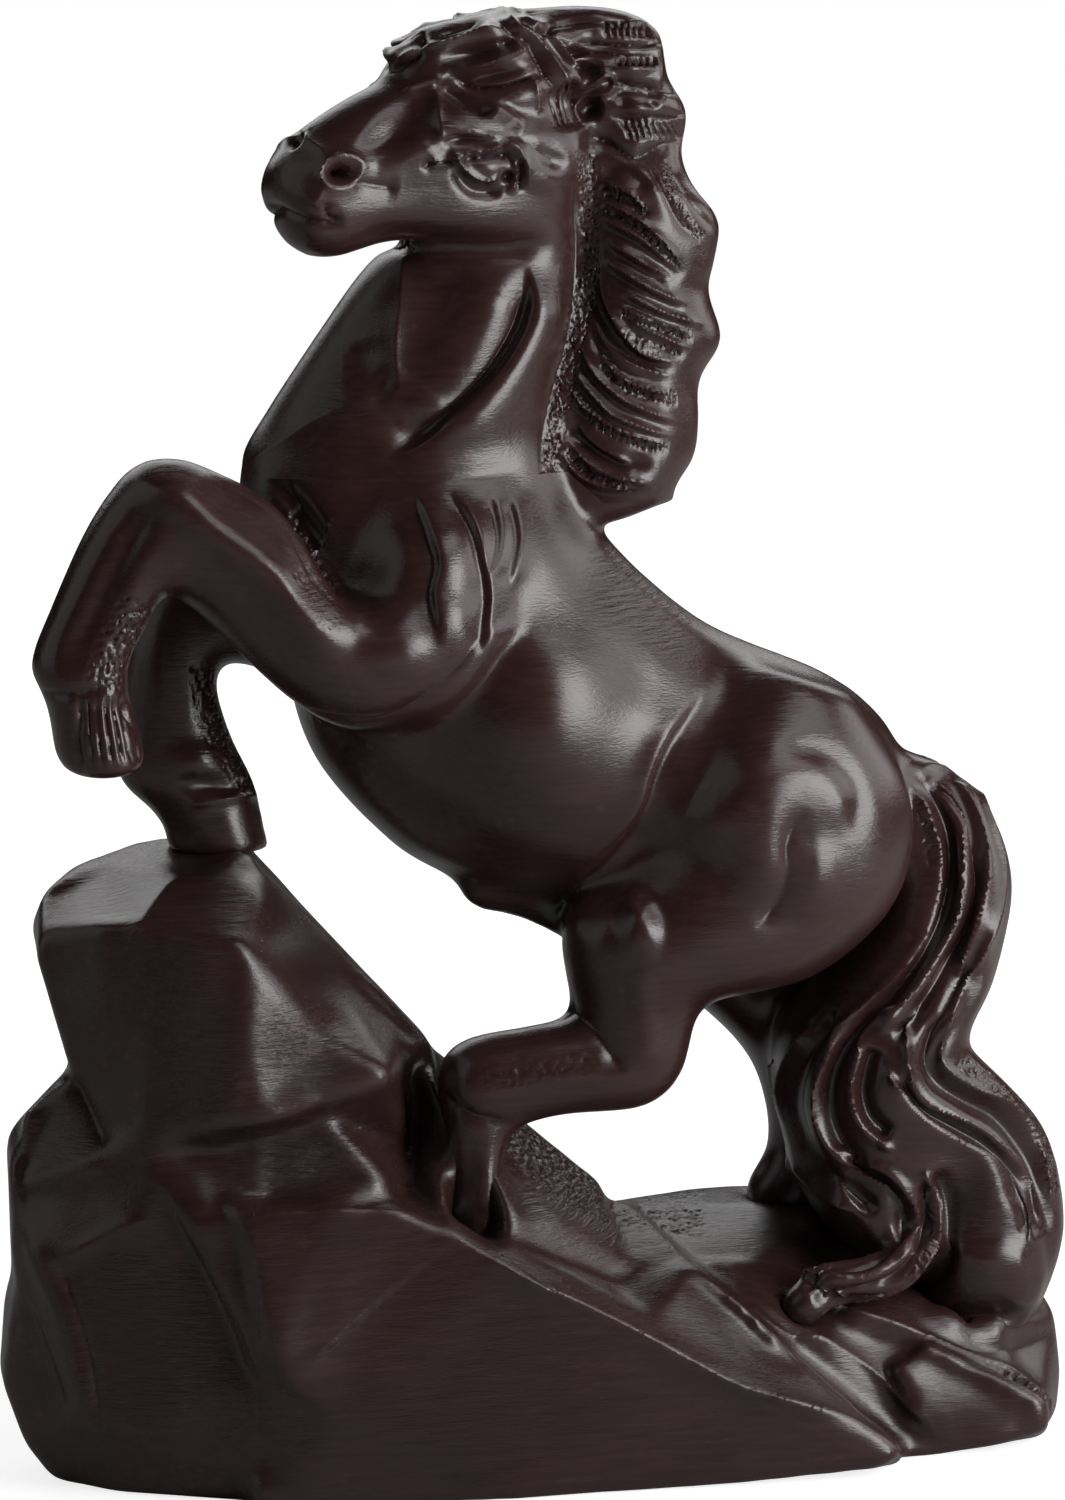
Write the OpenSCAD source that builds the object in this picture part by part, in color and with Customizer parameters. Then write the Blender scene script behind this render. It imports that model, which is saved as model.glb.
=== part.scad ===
/* [Rocks] */
// Length of the rock pile, head end to tail end
base_len = 152; // [142:1:164]
// Depth of the rock pile, front to back
base_depth = 63; // [57:1:72]
// Height of the boulder top that carries the far forehoof
boulder_top = 85; // [82:0.5:88]
// Height of the ledge that carries the near hind hoof
ledge_top = 33; // [30:0.5:36]
// Height of the rear rock that carries the far hind hoof
rear_top = 29; // [27:0.5:32]
// Depth that each hoof is let into its rock
hoof_seat = 1; // [0.6:0.2:2]

/* [Body] */
// Width of the barrel
barrel_w = 41; // [36:0.5:46]
// Width across both haunches
haunch_w = 50; // [46:0.5:54]
// Width of the neck at its base
neck_w = 29; // [26:0.5:32]
// Width of the head across the cheeks
head_w = 22; // [19:0.5:25]
// Width of the muzzle
muzzle_w = 15; // [13:0.5:17]
// Turn of the head towards the near side, in degrees
head_turn = 18; // [10:1:24]
// Length of the head ahead of the poll
head_len = 47; // [43:0.5:50]

/* [Hair] */
// Width of the mane
mane_w = 18; // [14:0.5:22]
// Number of carved locks on each side of the mane
mane_locks = 7; // [5:1:7]
// Width of the forelock and the crest on the poll
crest_w = 16; // [13:0.5:19]
// Width of the tail at its fullest
tail_w = 26; // [22:0.5:30]
// Radius of the tail's loose curl
curl_r = 3.2; // [2.6:0.2:4]

/* [Legs] */
// Width of the raised foreleg at the forearm
forearm_w = 19; // [16:0.5:21]
// Width of the cannons
cannon_w = 12.4; // [11:0.2:14]
// Width of the hooves
hoof_w = 13; // [12:0.2:15]
// Distance of the raised foreleg from the middle of the body
near_fore_y = 17; // [15:0.5:18.5]
// Distance of the planted foreleg from the middle of the body
far_fore_y = 10; // [8:0.5:12]
// Distance of the hind cannons from the middle of the body
hind_y = 13.5; // [12:0.5:15]

/* [Glue faces] */
// Height of the face between neck and torso
neck_joint_z = 137; // [135:0.5:138]
// Height of the face between head and neck
head_joint_z = 166.5; // [164:0.5:168]
// Height of the face between forelock and head
forelock_joint_z = 189.5; // [188:0.5:191]
// Height of the face between crest and mane
crest_joint_z = 181.5; // [180:0.5:183]
// Distance of the tail's upper glue face from the middle of the base
tail_joint_x = 53; // [51:0.5:54]
// Distance of the raised foreleg's lap face from the middle of the body
near_lap_y = 7; // [5:0.5:8]
// Distance of the planted foreleg's lap face from the middle of the body
far_lap_y = 2; // [1:0.5:3]

/* [Hidden] */

// Sides of a ring and rings between two stations of a loft
sides = 14;
steps = 2;
// Reach of the cutting blocks past the figure
far = 120;

// The head looks along -X, the tail is at +X and the near side of the figure is at -Y.
wood = "#2b201d";
polished = "#332623";
rough = "#241b19";

half_len = base_len / 2;
half_depth = base_depth / 2;
barrel = barrel_w / 2;
neck_r = neck_w / 2;
cheek = head_w / 2;
muzzle = muzzle_w / 2;
mane_r = mane_w / 2;
crest_r = crest_w / 2;
tail_r = tail_w / 2;
forearm = forearm_w / 2;
cannon = cannon_w / 2;
hoof = hoof_w / 2;
haunch_r = haunch_w / 4;
haunch_y = haunch_w / 2 - haunch_r;

// Middles of the cuts that part each hoof from its leg
near_fore_coronet = 110;
far_fore_coronet = boulder_top + 6;
near_hind_coronet = ledge_top + 13;
far_hind_coronet = rear_top + 6;

// A station of a loft is [x, z of one edge, x, z of the other edge, middle y, half width].
torso_stations = [
    [-36, 131, -35, 114, 0, 0.45 * barrel],
    [-32, 139, -33.5, 106, 0, 0.70 * barrel],
    [-18, 142, -30, 96, 0, 0.87 * barrel],
    [2, 135, -19.3, 84.3, 0, 0.97 * barrel],
    [14.5, 123, -9.5, 79.3, 0, barrel],
    [24, 115.2, 1, 77, 0, 0.97 * barrel],
    [33.5, 110.8, 10, 75, 0, 0.93 * barrel],
    [43, 106.8, 23, 71, 0, 0.86 * barrel],
    [51, 100, 36, 67, 0, 0.7 * barrel],
    [54, 93, 47, 77, 0, 0.4 * barrel]
];

neck_stations = [
    [-40, 127, 8, 120, 0, neck_r],
    [-41.5, 136, 8, 129, 0, neck_r],
    [-38.3, 143.5, 7, 137, 0, 0.92 * neck_r],
    [-33.5, 151, 7, 146, 0, 0.85 * neck_r],
    [-27.5, 159.5, 8, 157, 0, 0.78 * neck_r],
    [-21.5, 166.5, 9, 168, 0, 0.73 * neck_r],
    [-11, 174, 9, 177, 0, 0.70 * neck_r],
    [-6, 182, 9, 185, 0, 0.62 * neck_r]
];

// Along the head, from the poll to the lips; the first and third numbers are shares of head_len.
head_profile = [
    [0.02, 189, -0.10, 170, 0.78 * cheek],
    [-0.16, 191.5, -0.02, 168, 0.96 * cheek],
    [-0.32, 192, -0.20, 166.5, cheek],
    [-0.46, 191.5, -0.40, 167.5, 0.96 * cheek],
    [-0.58, 190.5, -0.54, 168.5, 0.86 * cheek],
    [-0.71, 188, -0.66, 168, 0.5 * (cheek + muzzle) - 1],
    [-0.83, 185, -0.78, 166.5, muzzle],
    [-0.91, 182, -0.88, 167.5, 0.97 * muzzle],
    [-0.96, 179, -0.93, 171, 0.76 * muzzle],
    [-0.975, 177.5, -0.955, 174, 0.42 * muzzle]
];
poll_x = 4;
head_stations = [
    for (p = head_profile)
        [poll_x + p[0] * head_len, p[1], poll_x + p[2] * head_len, p[3], 0, p[4]]
];

forelock_stations = [
    [-23.5, 193.5, -22.5, 188, 0, 0.4 * crest_r],
    [-20.5, 196.5, -19, 187, 0, 0.7 * crest_r],
    [-11, 198.5, -10, 186, 0, 0.95 * crest_r],
    [-3, 199.5, -2, 186, 0, crest_r],
    [6, 199, 6, 186, 0, crest_r]
];

crest_stations = [
    [2, 199.5, 12, 199, 0, 0.7 * crest_r],
    [2, 194, 18, 196, 0, 0.9 * crest_r],
    [2, 189, 18.5, 190, 0, crest_r],
    [4, 184, 22, 185, 0, crest_r],
    [6, 178, 20, 179, 0, crest_r]
];

mane_stations = [
    [3, 185, 20, 181, 0, 0.9 * mane_r],
    [3, 176, 23, 174, -0.5, 0.95 * mane_r],
    [3, 169, 26.5, 168, -1, 0.95 * mane_r],
    [3, 164, 24, 164, -1, 0.95 * mane_r],
    [2, 159.5, 25, 159, -1, 0.95 * mane_r],
    [1, 154.5, 27, 153.5, -1.5, 0.95 * mane_r],
    [0, 150, 23.5, 150, -1.5, mane_r],
    [-1, 144.5, 22.5, 145, -2, mane_r],
    [-1, neck_joint_z + 3, 23, neck_joint_z + 1.7, -2, mane_r],
    [0, neck_joint_z - 1, 19.5, neck_joint_z - 2.4, -2, mane_r],
    [4, neck_joint_z - 7, 12, neck_joint_z - 7.5, -2, 0.9 * mane_r]
];

near_foreleg_stations = [
    [-23, 133, -7, 132, -0.76 * near_fore_y, 0.6 * forearm],
    [-26, 128, -7, 123, -0.88 * near_fore_y, 0.85 * forearm],
    [-30, 122, -10, 115, -0.94 * near_fore_y, 0.95 * forearm],
    [-34, 123, -18, 106, -0.97 * near_fore_y, forearm],
    [-37, 131, -30, 103.5, -near_fore_y, forearm],
    [-42, 136.5, -40, 110, -near_fore_y, 0.97 * forearm],
    [-48, 139.5, -48.5, 118.5, -near_fore_y, 0.9 * forearm],
    [-53, 141.5, -54, 123, -near_fore_y, 0.84 * forearm],
    [-58.8, 140.6, -55.5, 123, -near_fore_y, 0.8 * forearm],
    [-64.9, 133, -56, 122, -near_fore_y, 0.6 * forearm + 0.2 * cannon],
    [-69.3, 124, -57, 119, -near_fore_y, cannon],
    [-72.3, 117, -59.5, 115.5, -near_fore_y, 0.95 * cannon],
    [-73.3, 113.5, -60, 111, -near_fore_y, cannon],
    [-71, 110, -59.5, 109, -near_fore_y, cannon],
    [-70.3, 105, -58, 103, -near_fore_y, hoof],
    [-69.8, 102, -57.5, 101, -near_fore_y, hoof],
    [-68.3, 99.5, -58.5, 99.5, -near_fore_y, 0.9 * hoof]
];

far_fore_sole = boulder_top - hoof_seat;
far_foreleg_stations = [
    [-24, 130, -9, 124, far_fore_y + 2, 0.7 * forearm],
    [-31, 126, -16, 110, far_fore_y + 3, 0.9 * forearm],
    [-39, 130, -29, 106, far_fore_y + 3, 0.9 * forearm],
    [-46, 128.5, -35, 108, far_fore_y + 2, 0.85 * forearm],
    [-52, 123, -40, 109.5, far_fore_y + 1, 0.8 * forearm],
    [-55, 114, -42.5, 109, far_fore_y, 1.1 * cannon],
    [-56, 105, -41.5, 103.5, far_fore_y, cannon],
    [-56.5, 98.5, -39.5, 98, far_fore_y, cannon],
    [-56.5, 94, -37, far_fore_coronet + 2.5, far_fore_y, 1.05 * cannon],
    [-53.5, far_fore_coronet + 0.5, -36.3, far_fore_coronet - 0.5, far_fore_y, 1.05 * cannon],
    [-50, far_fore_sole + 3.5, -36, far_fore_sole + 3, far_fore_y, hoof],
    [-49.5, far_fore_sole, -35, far_fore_sole, far_fore_y, hoof]
];

near_hind_sole = ledge_top - hoof_seat;
near_hind_stations = [
    [27, 110.5, 43, 105.5, -0.7 * haunch_y, 0.65 * haunch_r],
    [20, 104, 50, 94, -0.95 * haunch_y, 0.88 * haunch_r],
    [15, 95, 51, 83, -haunch_y, haunch_r],
    [10.5, 86.5, 47, 74, -haunch_y, haunch_r],
    [4.5, 80.5, 36, 66, -haunch_y - 0.5, 0.9 * haunch_r],
    [0.5, 76.5, 22, 64, -hind_y - 0.5, 0.76 * haunch_r],
    [0.8, 69.5, 19.2, 60.5, -hind_y, 1.3 * cannon],
    [2, 63.5, 18, 54.5, -hind_y, 1.15 * cannon],
    [1, 62.3, 12.5, 49.3, -hind_y, 1.1 * cannon],
    [-2, 62, 1, 49, -hind_y, 1.05 * cannon],
    [-8, 61, -6, 47.5, -hind_y, cannon],
    [-13, 60.3, -10, 47.5, -hind_y, cannon],
    [-17, 56.5, -6.5, 47, -hind_y, 0.95 * cannon],
    [-16.5, near_hind_coronet + 3, -7, near_hind_coronet + 0.5, -hind_y, 0.85 * cannon],
    [-15.5, near_hind_coronet - 3, -8, near_hind_coronet - 3.5, -hind_y, 0.9 * hoof],
    [-16, ledge_top + 4, -8, ledge_top + 4, -hind_y, hoof],
    [-16.5, near_hind_sole, -8, near_hind_sole, -hind_y, hoof]
];

far_hind_sole = rear_top - hoof_seat;
far_hind_stations = [
    [27, 110.5, 43, 105.5, 0.7 * haunch_y, 0.65 * haunch_r],
    [20, 104, 50, 94, 0.95 * haunch_y, 0.88 * haunch_r],
    [15, 95, 51, 83, haunch_y, haunch_r],
    [10.5, 86.5, 48.5, 74, haunch_y, haunch_r],
    [7, 77, 48, 66, hind_y + 0.5, 0.85 * haunch_r],
    [13, 69, 47.5, 60, hind_y, 0.7 * haunch_r],
    [22.5, 62, 48, 54, hind_y, 1.2 * cannon],
    [31.5, 54.5, 49, 48.5, hind_y, 1.1 * cannon],
    [36.8, 47.5, 49, 44, hind_y, cannon],
    [38.8, far_hind_coronet + 4, 49, far_hind_coronet + 4, hind_y, 0.95 * cannon],
    [38.5, far_hind_coronet, 48.5, far_hind_coronet - 0.5, hind_y, cannon],
    [36, far_hind_sole + 3, 48.5, far_hind_sole + 2.5, hind_y, hoof],
    [35.5, far_hind_sole, 48.5, far_hind_sole, hind_y, hoof]
];

// The tail is three bundles of hair, side by side from the leg outwards.
inner_tail_stations = [
    [47, 97, 54, 95.5, 0, 0.36 * tail_r],
    [48, 89, 58, 88.5, -1, 0.6 * tail_r],
    [49, 80, 60, 80.5, -2, 0.75 * tail_r],
    [47, 72, 58, 71, -3, 0.85 * tail_r],
    [42, 65, 53, 61.5, -4, 0.95 * tail_r],
    [37, 59.5, 47, 55, -4, tail_r],
    [35, 53, 44.5, 50.5, -4, tail_r],
    [35.3, 46, 46, 44.5, -4, tail_r],
    [37.3, 38.5, 49, 37.5, -4, tail_r],
    [39, 32.5, 52, 31, -4, 0.95 * tail_r],
    [44, 26, 54, 24, -4, 0.9 * tail_r]
];
middle_tail_stations = [
    [49, 96.5, 56, 94.5, -0.5, 0.4 * tail_r],
    [54, 90, 61, 89, -2, 0.55 * tail_r],
    [56, 81.5, 65.5, 81, -3, 0.75 * tail_r],
    [55, 74, 66, 73, -4, 0.9 * tail_r],
    [50, 64, 62, 63, -5, tail_r],
    [44, 57, 57, 57, -5.5, 1.05 * tail_r],
    [41.5, 50, 56, 50, -6, 1.05 * tail_r],
    [43, 42, 60, 44, -6, 1.05 * tail_r],
    [48, 35, 66, 38.5, -6.5, 1.05 * tail_r],
    [51, 28, 72, 31, -7, tail_r],
    [53, 21, 74, 22, -7, 0.95 * tail_r],
    [55, 14.5, 70, 14, -7, 0.85 * tail_r]
];
outer_tail_stations = [
    [50, 96, 57.5, 94.2, 0, 0.35 * tail_r],
    [57, 88.5, 65.3, 88, -1, 0.5 * tail_r],
    [61, 79.5, 68.5, 79, -2, 0.65 * tail_r],
    [60, 72, 68, 71.5, -2, 0.75 * tail_r],
    [56.5, 63, 65, 62, -3, 0.8 * tail_r],
    [53.5, 55, 61.5, 55, -3, 0.8 * tail_r],
    [54, 49.5, 67, 49.5, -3, 0.8 * tail_r],
    [58, 43.5, 73, 42.5, -4, 0.85 * tail_r],
    [63, 36.5, 75.5, 35, -4, 0.85 * tail_r],
    [67, 28, 75.8, 27.5, -5, 0.8 * tail_r],
    [65, 20, 74, 20, -5, 0.75 * tail_r],
    [63, 14.5, 71.5, 14.5, -5, 0.7 * tail_r]
];

// Middle line of the loose curl that leaves the tail and lies on the rock.
curl_path = [
    [43, -13, 41], [48.5, -15, 36.5], [51, -16.5, 31], [48.5, -17.5, 26],
    [43, -18, 24], [37.5, -18, 23.5], [34, -17.5, 20.5]
];

// A lock of the mane runs from its root on the neck back and down to its tip.
lock_root = [9.5, neck_joint_z + 41.5];
lock_tip = [26, neck_joint_z + 32.5];
lock_drop = [-0.75, -6.4];
lock_r = [1.8, 3, 2.6, 1.2];
function lock_path(i, side) = let (root = lock_root + i * lock_drop, tip = lock_tip + i * lock_drop) [
    [root[0], side * 0.85 * mane_r, root[1]],
    [0.7 * root[0] + 0.3 * tip[0], side * 0.95 * mane_r, 0.6 * root[1] + 0.4 * tip[1]],
    [0.3 * root[0] + 0.7 * tip[0], side * 0.8 * mane_r, 0.2 * root[1] + 0.8 * tip[1]],
    [tip[0] - 0.8, side * 0.35 * mane_r, tip[1] + 0.6]
];

// Leaf-shaped locks on each side of the forelock, in the frame of the unturned head.
leaf_r = [0.8, 2.6, 2.8, 1.4];
upper_leaf = [[-18, 0.55, 192.5], [-12, 0.75, 194.8], [-5, 0.8, 196], [3, 0.6, 195]];
lower_leaf = [[-16, 0.85, 190.6], [-10, 1, 190.4], [-4, 1, 190], [3, 0.85, 191]];

// Eyes, brows and nostrils, in the frame of the unturned head.
eye = [-13, 178.5];
eye_r = 2.6;
brow_path = [[-20, 0.8, 184], [-13, 0.9, 183.5], [-7, 0.95, 181]];
brow_r = 1.8;
nostril = [-35.5, 179.6];
nostril_r = 2.4;

// The sheath under the belly.
sheath_path = [[-9, -4, 79], [-2, -4, 77.5], [3, -5, 74.5]];
sheath_r = 3;

// Curve through four neighbours at a share t of the middle span.
function curve(a, b, c, d, t) =
    0.5 * (2 * b + (c - a) * t + (2 * a - 5 * b + 4 * c - d) * t * t
        + (3 * b - a - 3 * c + d) * t * t * t);

function smoothed(list, n = steps) = let (last = len(list) - 1) concat(
    [
        for (i = [0 : last - 1]) for (k = [0 : n - 1])
            curve(list[max(i - 1, 0)], list[i], list[i + 1], list[min(i + 2, last)], k / n)
    ],
    [list[last]]
);

function ring(s) = [
    for (k = [0 : sides - 1])
        let (turn = 360 * k / sides)
            [
                (s[0] + s[2]) / 2 + cos(turn) * (s[2] - s[0]) / 2,
                s[4] + sin(turn) * s[5],
                (s[1] + s[3]) / 2 + cos(turn) * (s[3] - s[1]) / 2
            ]
];

// The convex solid round a list of points.
module lump(points) {
    hull() polyhedron(points = points, faces = [[for (i = [0 : len(points) - 1]) i]]);
}

module loft(stations) {
    rings = smoothed(stations);
    for (i = [0 : len(rings) - 2])
        lump(concat(ring(rings[i]), ring(rings[i + 1])));
}

// A round rod along a path, with a radius at each of its points.
module rod(path, radii) {
    points = smoothed(path);
    r = smoothed(radii);
    for (i = [0 : len(points) - 2])
        hull() {
            translate(points[i]) sphere(r[i], $fn = 8);
            translate(points[i + 1]) sphere(r[i + 1], $fn = 8);
        }
}

function same(r, path) = [for (p = path) r];
function on_side(path, side, half_w) = [for (p = path) [p[0], side * p[1] * half_w, p[2]]];

module turned_head() {
    translate([poll_x, 0, 0]) rotate([0, 0, head_turn]) translate([-poll_x, 0, 0]) {
        loft(head_stations);
        loft(forelock_stations);
        for (side = [-1, 1]) {
            rod(on_side(upper_leaf, side, crest_r), leaf_r);
            rod(on_side(lower_leaf, side, crest_r), leaf_r);
            rod(on_side(brow_path, side, cheek), same(brow_r, brow_path));
            translate([eye[0], side * 0.82 * cheek, eye[1]]) sphere(eye_r, $fn = 12);
            translate([nostril[0], side * 0.75 * muzzle, nostril[1]]) sphere(nostril_r, $fn = 12);
        }
    }
}

// The whole horse, before it is parted into glued pieces.
module horse_form() {
    loft(torso_stations);
    loft(neck_stations);
    turned_head();
    loft(crest_stations);
    loft(mane_stations);
    for (i = [0 : mane_locks - 1]) for (side = [-1, 1])
        rod(lock_path(i, side), lock_r);
    loft(near_foreleg_stations);
    loft(far_foreleg_stations);
    loft(near_hind_stations);
    loft(far_hind_stations);
    loft(inner_tail_stations);
    loft(middle_tail_stations);
    loft(outer_tail_stations);
    rod(curl_path, same(curl_r, curl_path));
    rod(sheath_path, same(sheath_r, sheath_path));
}

// A cutting block: an outline in the side view, between two depths.
module block(outline, y0 = -far, y1 = far) {
    translate([0, y1, 0]) rotate([90, 0, 0]) linear_extrude(y1 - y0) polygon(outline);
}

// Corner where the faces of neck, mane and torso meet, and the mane's upper corner.
mane_foot = [2.5, neck_joint_z];
mane_head = [6, crest_joint_z];
withers = [12.5, neck_joint_z - 9];

module crest_block() {
    block([[mane_head[0], crest_joint_z], [far, crest_joint_z], [far, 2 * far], [mane_head[0], 2 * far]]);
}

module forelock_block() {
    block([
        [-far, forelock_joint_z], [mane_head[0], forelock_joint_z],
        [mane_head[0], 2 * far], [-far, 2 * far]
    ]);
}

module mane_block() {
    block([mane_foot, withers, [far, withers[1]], [far, crest_joint_z], mane_head]);
}

// The mane's face at a given height.
function mane_face(z) =
    mane_foot[0] + (mane_head[0] - mane_foot[0]) * (z - mane_foot[1]) / (mane_head[1] - mane_foot[1]);

module head_block() {
    block([
        [-far, head_joint_z], [mane_face(head_joint_z), head_joint_z], mane_head,
        [mane_head[0], forelock_joint_z], [-far, forelock_joint_z]
    ]);
}

// Front corner of the neck, where the raised foreleg begins.
neck_front = 27.5 - 0.5 * neck_joint_z;

module neck_block() {
    block([
        [neck_front, neck_joint_z], mane_foot,
        [mane_face(head_joint_z), head_joint_z], [neck_front, head_joint_z]
    ]);
}

elbow = [-28, 100];
knee_reach = [neck_front, 150];
// The near forehoof lies ahead of this, and the far cannon ahead of the chest
heel_x = -50;
chest_x = -34.5;
far_knee_z = 104;

module near_foreleg_block() {
    block(
        [[-far, knee_reach[1]], knee_reach, [neck_front, neck_joint_z], elbow, [elbow[0], 92], [-far, 92]],
        -far, -near_lap_y
    );
}

module near_fore_hoof_block() {
    block([[-far, 92], [heel_x, 92], [heel_x, near_fore_coronet - 1], [-far, near_fore_coronet]],
        -far, -near_lap_y);
}

module far_foreleg_block() {
    block([[-far, neck_joint_z], [-38, neck_joint_z], elbow, [elbow[0], far_knee_z - 6],
    [-far, far_knee_z - 6]],
        far_lap_y, far);
    block([[-far, 60], [chest_x, 60], [chest_x, far_knee_z], [-far, far_knee_z]], -far_lap_y, far);
}

module far_fore_hoof_block() {
    block([[-far, 60], [chest_x, 60], [chest_x, far_fore_coronet - 0.5], [-far, far_fore_coronet + 0.5]],
        -far_lap_y, far);
}

// Line of the flank crease, from the loin to the stifle.
loin = [25, 125];
flank = [19, 104];
stifle = [1, 78];
groin = [-30, 68];
// Height of the buttock's underside, where the tail swings in below it
buttock_z = 64;
// Face between near hind leg and tail, and between tail and far hind leg
gaskin_x = 28;
tail_back_y = 4.5;
hock_x = 49.5;

module haunch_block(y0, y1) {
    block([loin, flank, stifle, groin, [groin[0], buttock_z], [tail_joint_x, buttock_z],
        [tail_joint_x, loin[1]]], y0, y1);
}

module near_hind_block() {
    haunch_block(-far, 0);
    block([[groin[0], 0], [gaskin_x, 0], [gaskin_x, buttock_z], [groin[0], buttock_z]], -far, tail_back_y);
}

module near_hind_hoof_block() {
    block([[groin[0], 0], [0, 0], [0, near_hind_coronet], [groin[0], near_hind_coronet]], -far, tail_back_y);
}

module far_hind_block() {
    haunch_block(0, far);
    block([[0, 0], [hock_x, 0], [hock_x, buttock_z], [0, buttock_z]], tail_back_y, far);
}

module far_hind_hoof_block() {
    block([[0, 0], [hock_x, 0], [hock_x, far_hind_coronet], [0, far_hind_coronet]], tail_back_y, far);
}

module tail_block() {
    block([[tail_joint_x, buttock_z], [far, buttock_z], [far, loin[1]], [tail_joint_x, loin[1]]]);
    block([[gaskin_x, 0], [far, 0], [far, buttock_z], [gaskin_x, buttock_z]], -far, tail_back_y);
    block([[hock_x, 0], [far, 0], [far, buttock_z], [hock_x, buttock_z]], tail_back_y, far);
}

// Everything above the torso.
module upper_block() {
    block([
        [-far, neck_joint_z], mane_foot, withers, [far, withers[1]], [far, 2 * far], [-far, 2 * far]
    ]);
}

module torso() {
    color(polished) difference() {
        horse_form();
        upper_block();
        near_foreleg_block();
        near_fore_hoof_block();
        far_foreleg_block();
        near_hind_block();
        far_hind_block();
        tail_block();
    }
}

module neck() {
    color(polished) intersection() {
        horse_form();
        neck_block();
    }
}

module head() {
    color(polished) intersection() {
        horse_form();
        head_block();
    }
}

module forelock() {
    color(wood) intersection() {
        horse_form();
        forelock_block();
    }
}

module crest() {
    color(wood) intersection() {
        horse_form();
        crest_block();
    }
}

module mane() {
    color(wood) intersection() {
        horse_form();
        mane_block();
    }
}

module near_foreleg() {
    color(polished) difference() {
        intersection() {
            horse_form();
            near_foreleg_block();
        }
        near_fore_hoof_block();
    }
}

module near_fore_hoof() {
    color(wood) intersection() {
        horse_form();
        near_fore_hoof_block();
    }
}

module far_foreleg() {
    color(polished) difference() {
        intersection() {
            horse_form();
            far_foreleg_block();
        }
        far_fore_hoof_block();
    }
}

module far_fore_hoof() {
    color(wood) intersection() {
        horse_form();
        far_fore_hoof_block();
    }
}

module near_hind_leg() {
    color(polished) difference() {
        intersection() {
            horse_form();
            near_hind_block();
        }
        near_hind_hoof_block();
    }
}

module near_hind_hoof() {
    color(wood) intersection() {
        horse_form();
        near_hind_hoof_block();
    }
}

module far_hind_leg() {
    color(polished) difference() {
        intersection() {
            horse_form();
            far_hind_block();
        }
        far_hind_hoof_block();
    }
}

module far_hind_hoof() {
    color(wood) intersection() {
        horse_form();
        far_hind_hoof_block();
    }
}

module tail() {
    color(wood) intersection() {
        horse_form();
        tail_block();
    }
}

// Rocks. Each form is a few convex lumps, and a rock gives way to the ones before it.
module front_slab_form() {
    lump([
        [-46, 5 - half_depth, 0], [-10, -half_depth, 0], [20, -half_depth, 0], [46, 2.5 - half_depth, 0],
        [-46, 4 - half_depth, 22], [-46, 5 - half_depth, 40], [-26, 6 - half_depth, ledge_top + 6],
        [-17, 9 - half_depth, ledge_top + 3.5], [16, 2 - half_depth, 15.5], [35, 3 - half_depth, 5],
        [-46, -10, 0], [46, -10, 0], [-46, -10, 42], [-20, -8, ledge_top + 6], [-6, -8, ledge_top],
        [10, -10, 22], [40, -10, 5]
    ]);
}

module left_rock_form() {
    lump([
        [7 - half_len, -6, 0], [-62, -14, 0], [-44, -24, 0], [-44, 22, 0], [-62, 17, 0], [7 - half_len, 5, 0],
        [-half_len, -5, 14], [1 - half_len, 4, 14], [2.5 - half_len, -7, 6], [-64, -21, 20], [-44, -27, 20],
        [1.5 - half_len, -6, 26], [2 - half_len, 4, 26], [-44, -20, 54], [-40, 16, 56]
    ]);
    lump([
        [2 - half_len, -7, 24], [3 - half_len, 4, 24], [-62, -21, 26], [-44, -24, 26], [-44, 20, 26],
        [1 - half_len, -6, 44], [2.5 - half_len, 4, 47], [-58, -20, 49], [-44, -22, 52],
        [-66, -11, 55], [-64, 8, 55], [-60, 18, 50], [-40, 18, 54]
    ]);
}

module front_boulder_form() {
    lump([
        [-66, -10, 54], [-63.5, 9, 55], [-50, -22, 52], [-41, -21, 51], [-38, 18, 52], [-57, 18, 54],
        [5 - half_len, -8, 73], [7 - half_len, 8, 75], [-62, -20, 72], [-45, -19, 74], [-60, 18, 72],
        [6 - half_len, -11, 78.5], [-60, -20, boulder_top - 6], [-55, -15, boulder_top - 4.5],
        [-47, -4, boulder_top - 1.5], [-40, 2, boulder_top], [-38, 17, boulder_top],
        [-52, 17, boulder_top - 0.5], [-62, 12, boulder_top - 2.5], [8 - half_len, 2, boulder_top - 4],
        [-30, -15, 62], [-24, -15, 56]
    ]);
    lump([
        [-41, 0, boulder_top - 0.5], [-38, 16, boulder_top - 0.5], [-30, -2, 72], [-28, 14, 71],
        [-15, -4, 57], [-13, 8, 56], [-44, 0, 50], [-40, 18, 50], [-18, -16, 48], [-12, 16, 44],
        [-30, -18, 50]
    ]);
}

module back_rock_form() {
    lump([
        [-48, 24, 0], [-20, half_depth, 0], [12, half_depth, 0], [-48, -20, 0], [10, -20, 0],
        [-46, 22, 40], [-20, half_depth - 6, 42], [-40, -14, 50], [-14, -14, 45], [-15, 12, 57],
        [0, 9, 44], [-4, -8, ledge_top + 3], [12.5, 8, 33.5], [12, -8, 26], [10, 22, 28]
    ]);
    lump([
        [4, half_depth, 0], [48, 24, 0], [4, -20, 0], [48, -20, 0], [8, 10, rear_top + 1],
        [20, 10, rear_top], [30, 21, rear_top], [50, 21, rear_top], [50, 6, rear_top], [8, -8, 26],
        [30, -10, 25], [48, -14, 16], [34, 26, rear_top - 8], [8, 24, 22]
    ]);
}

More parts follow.
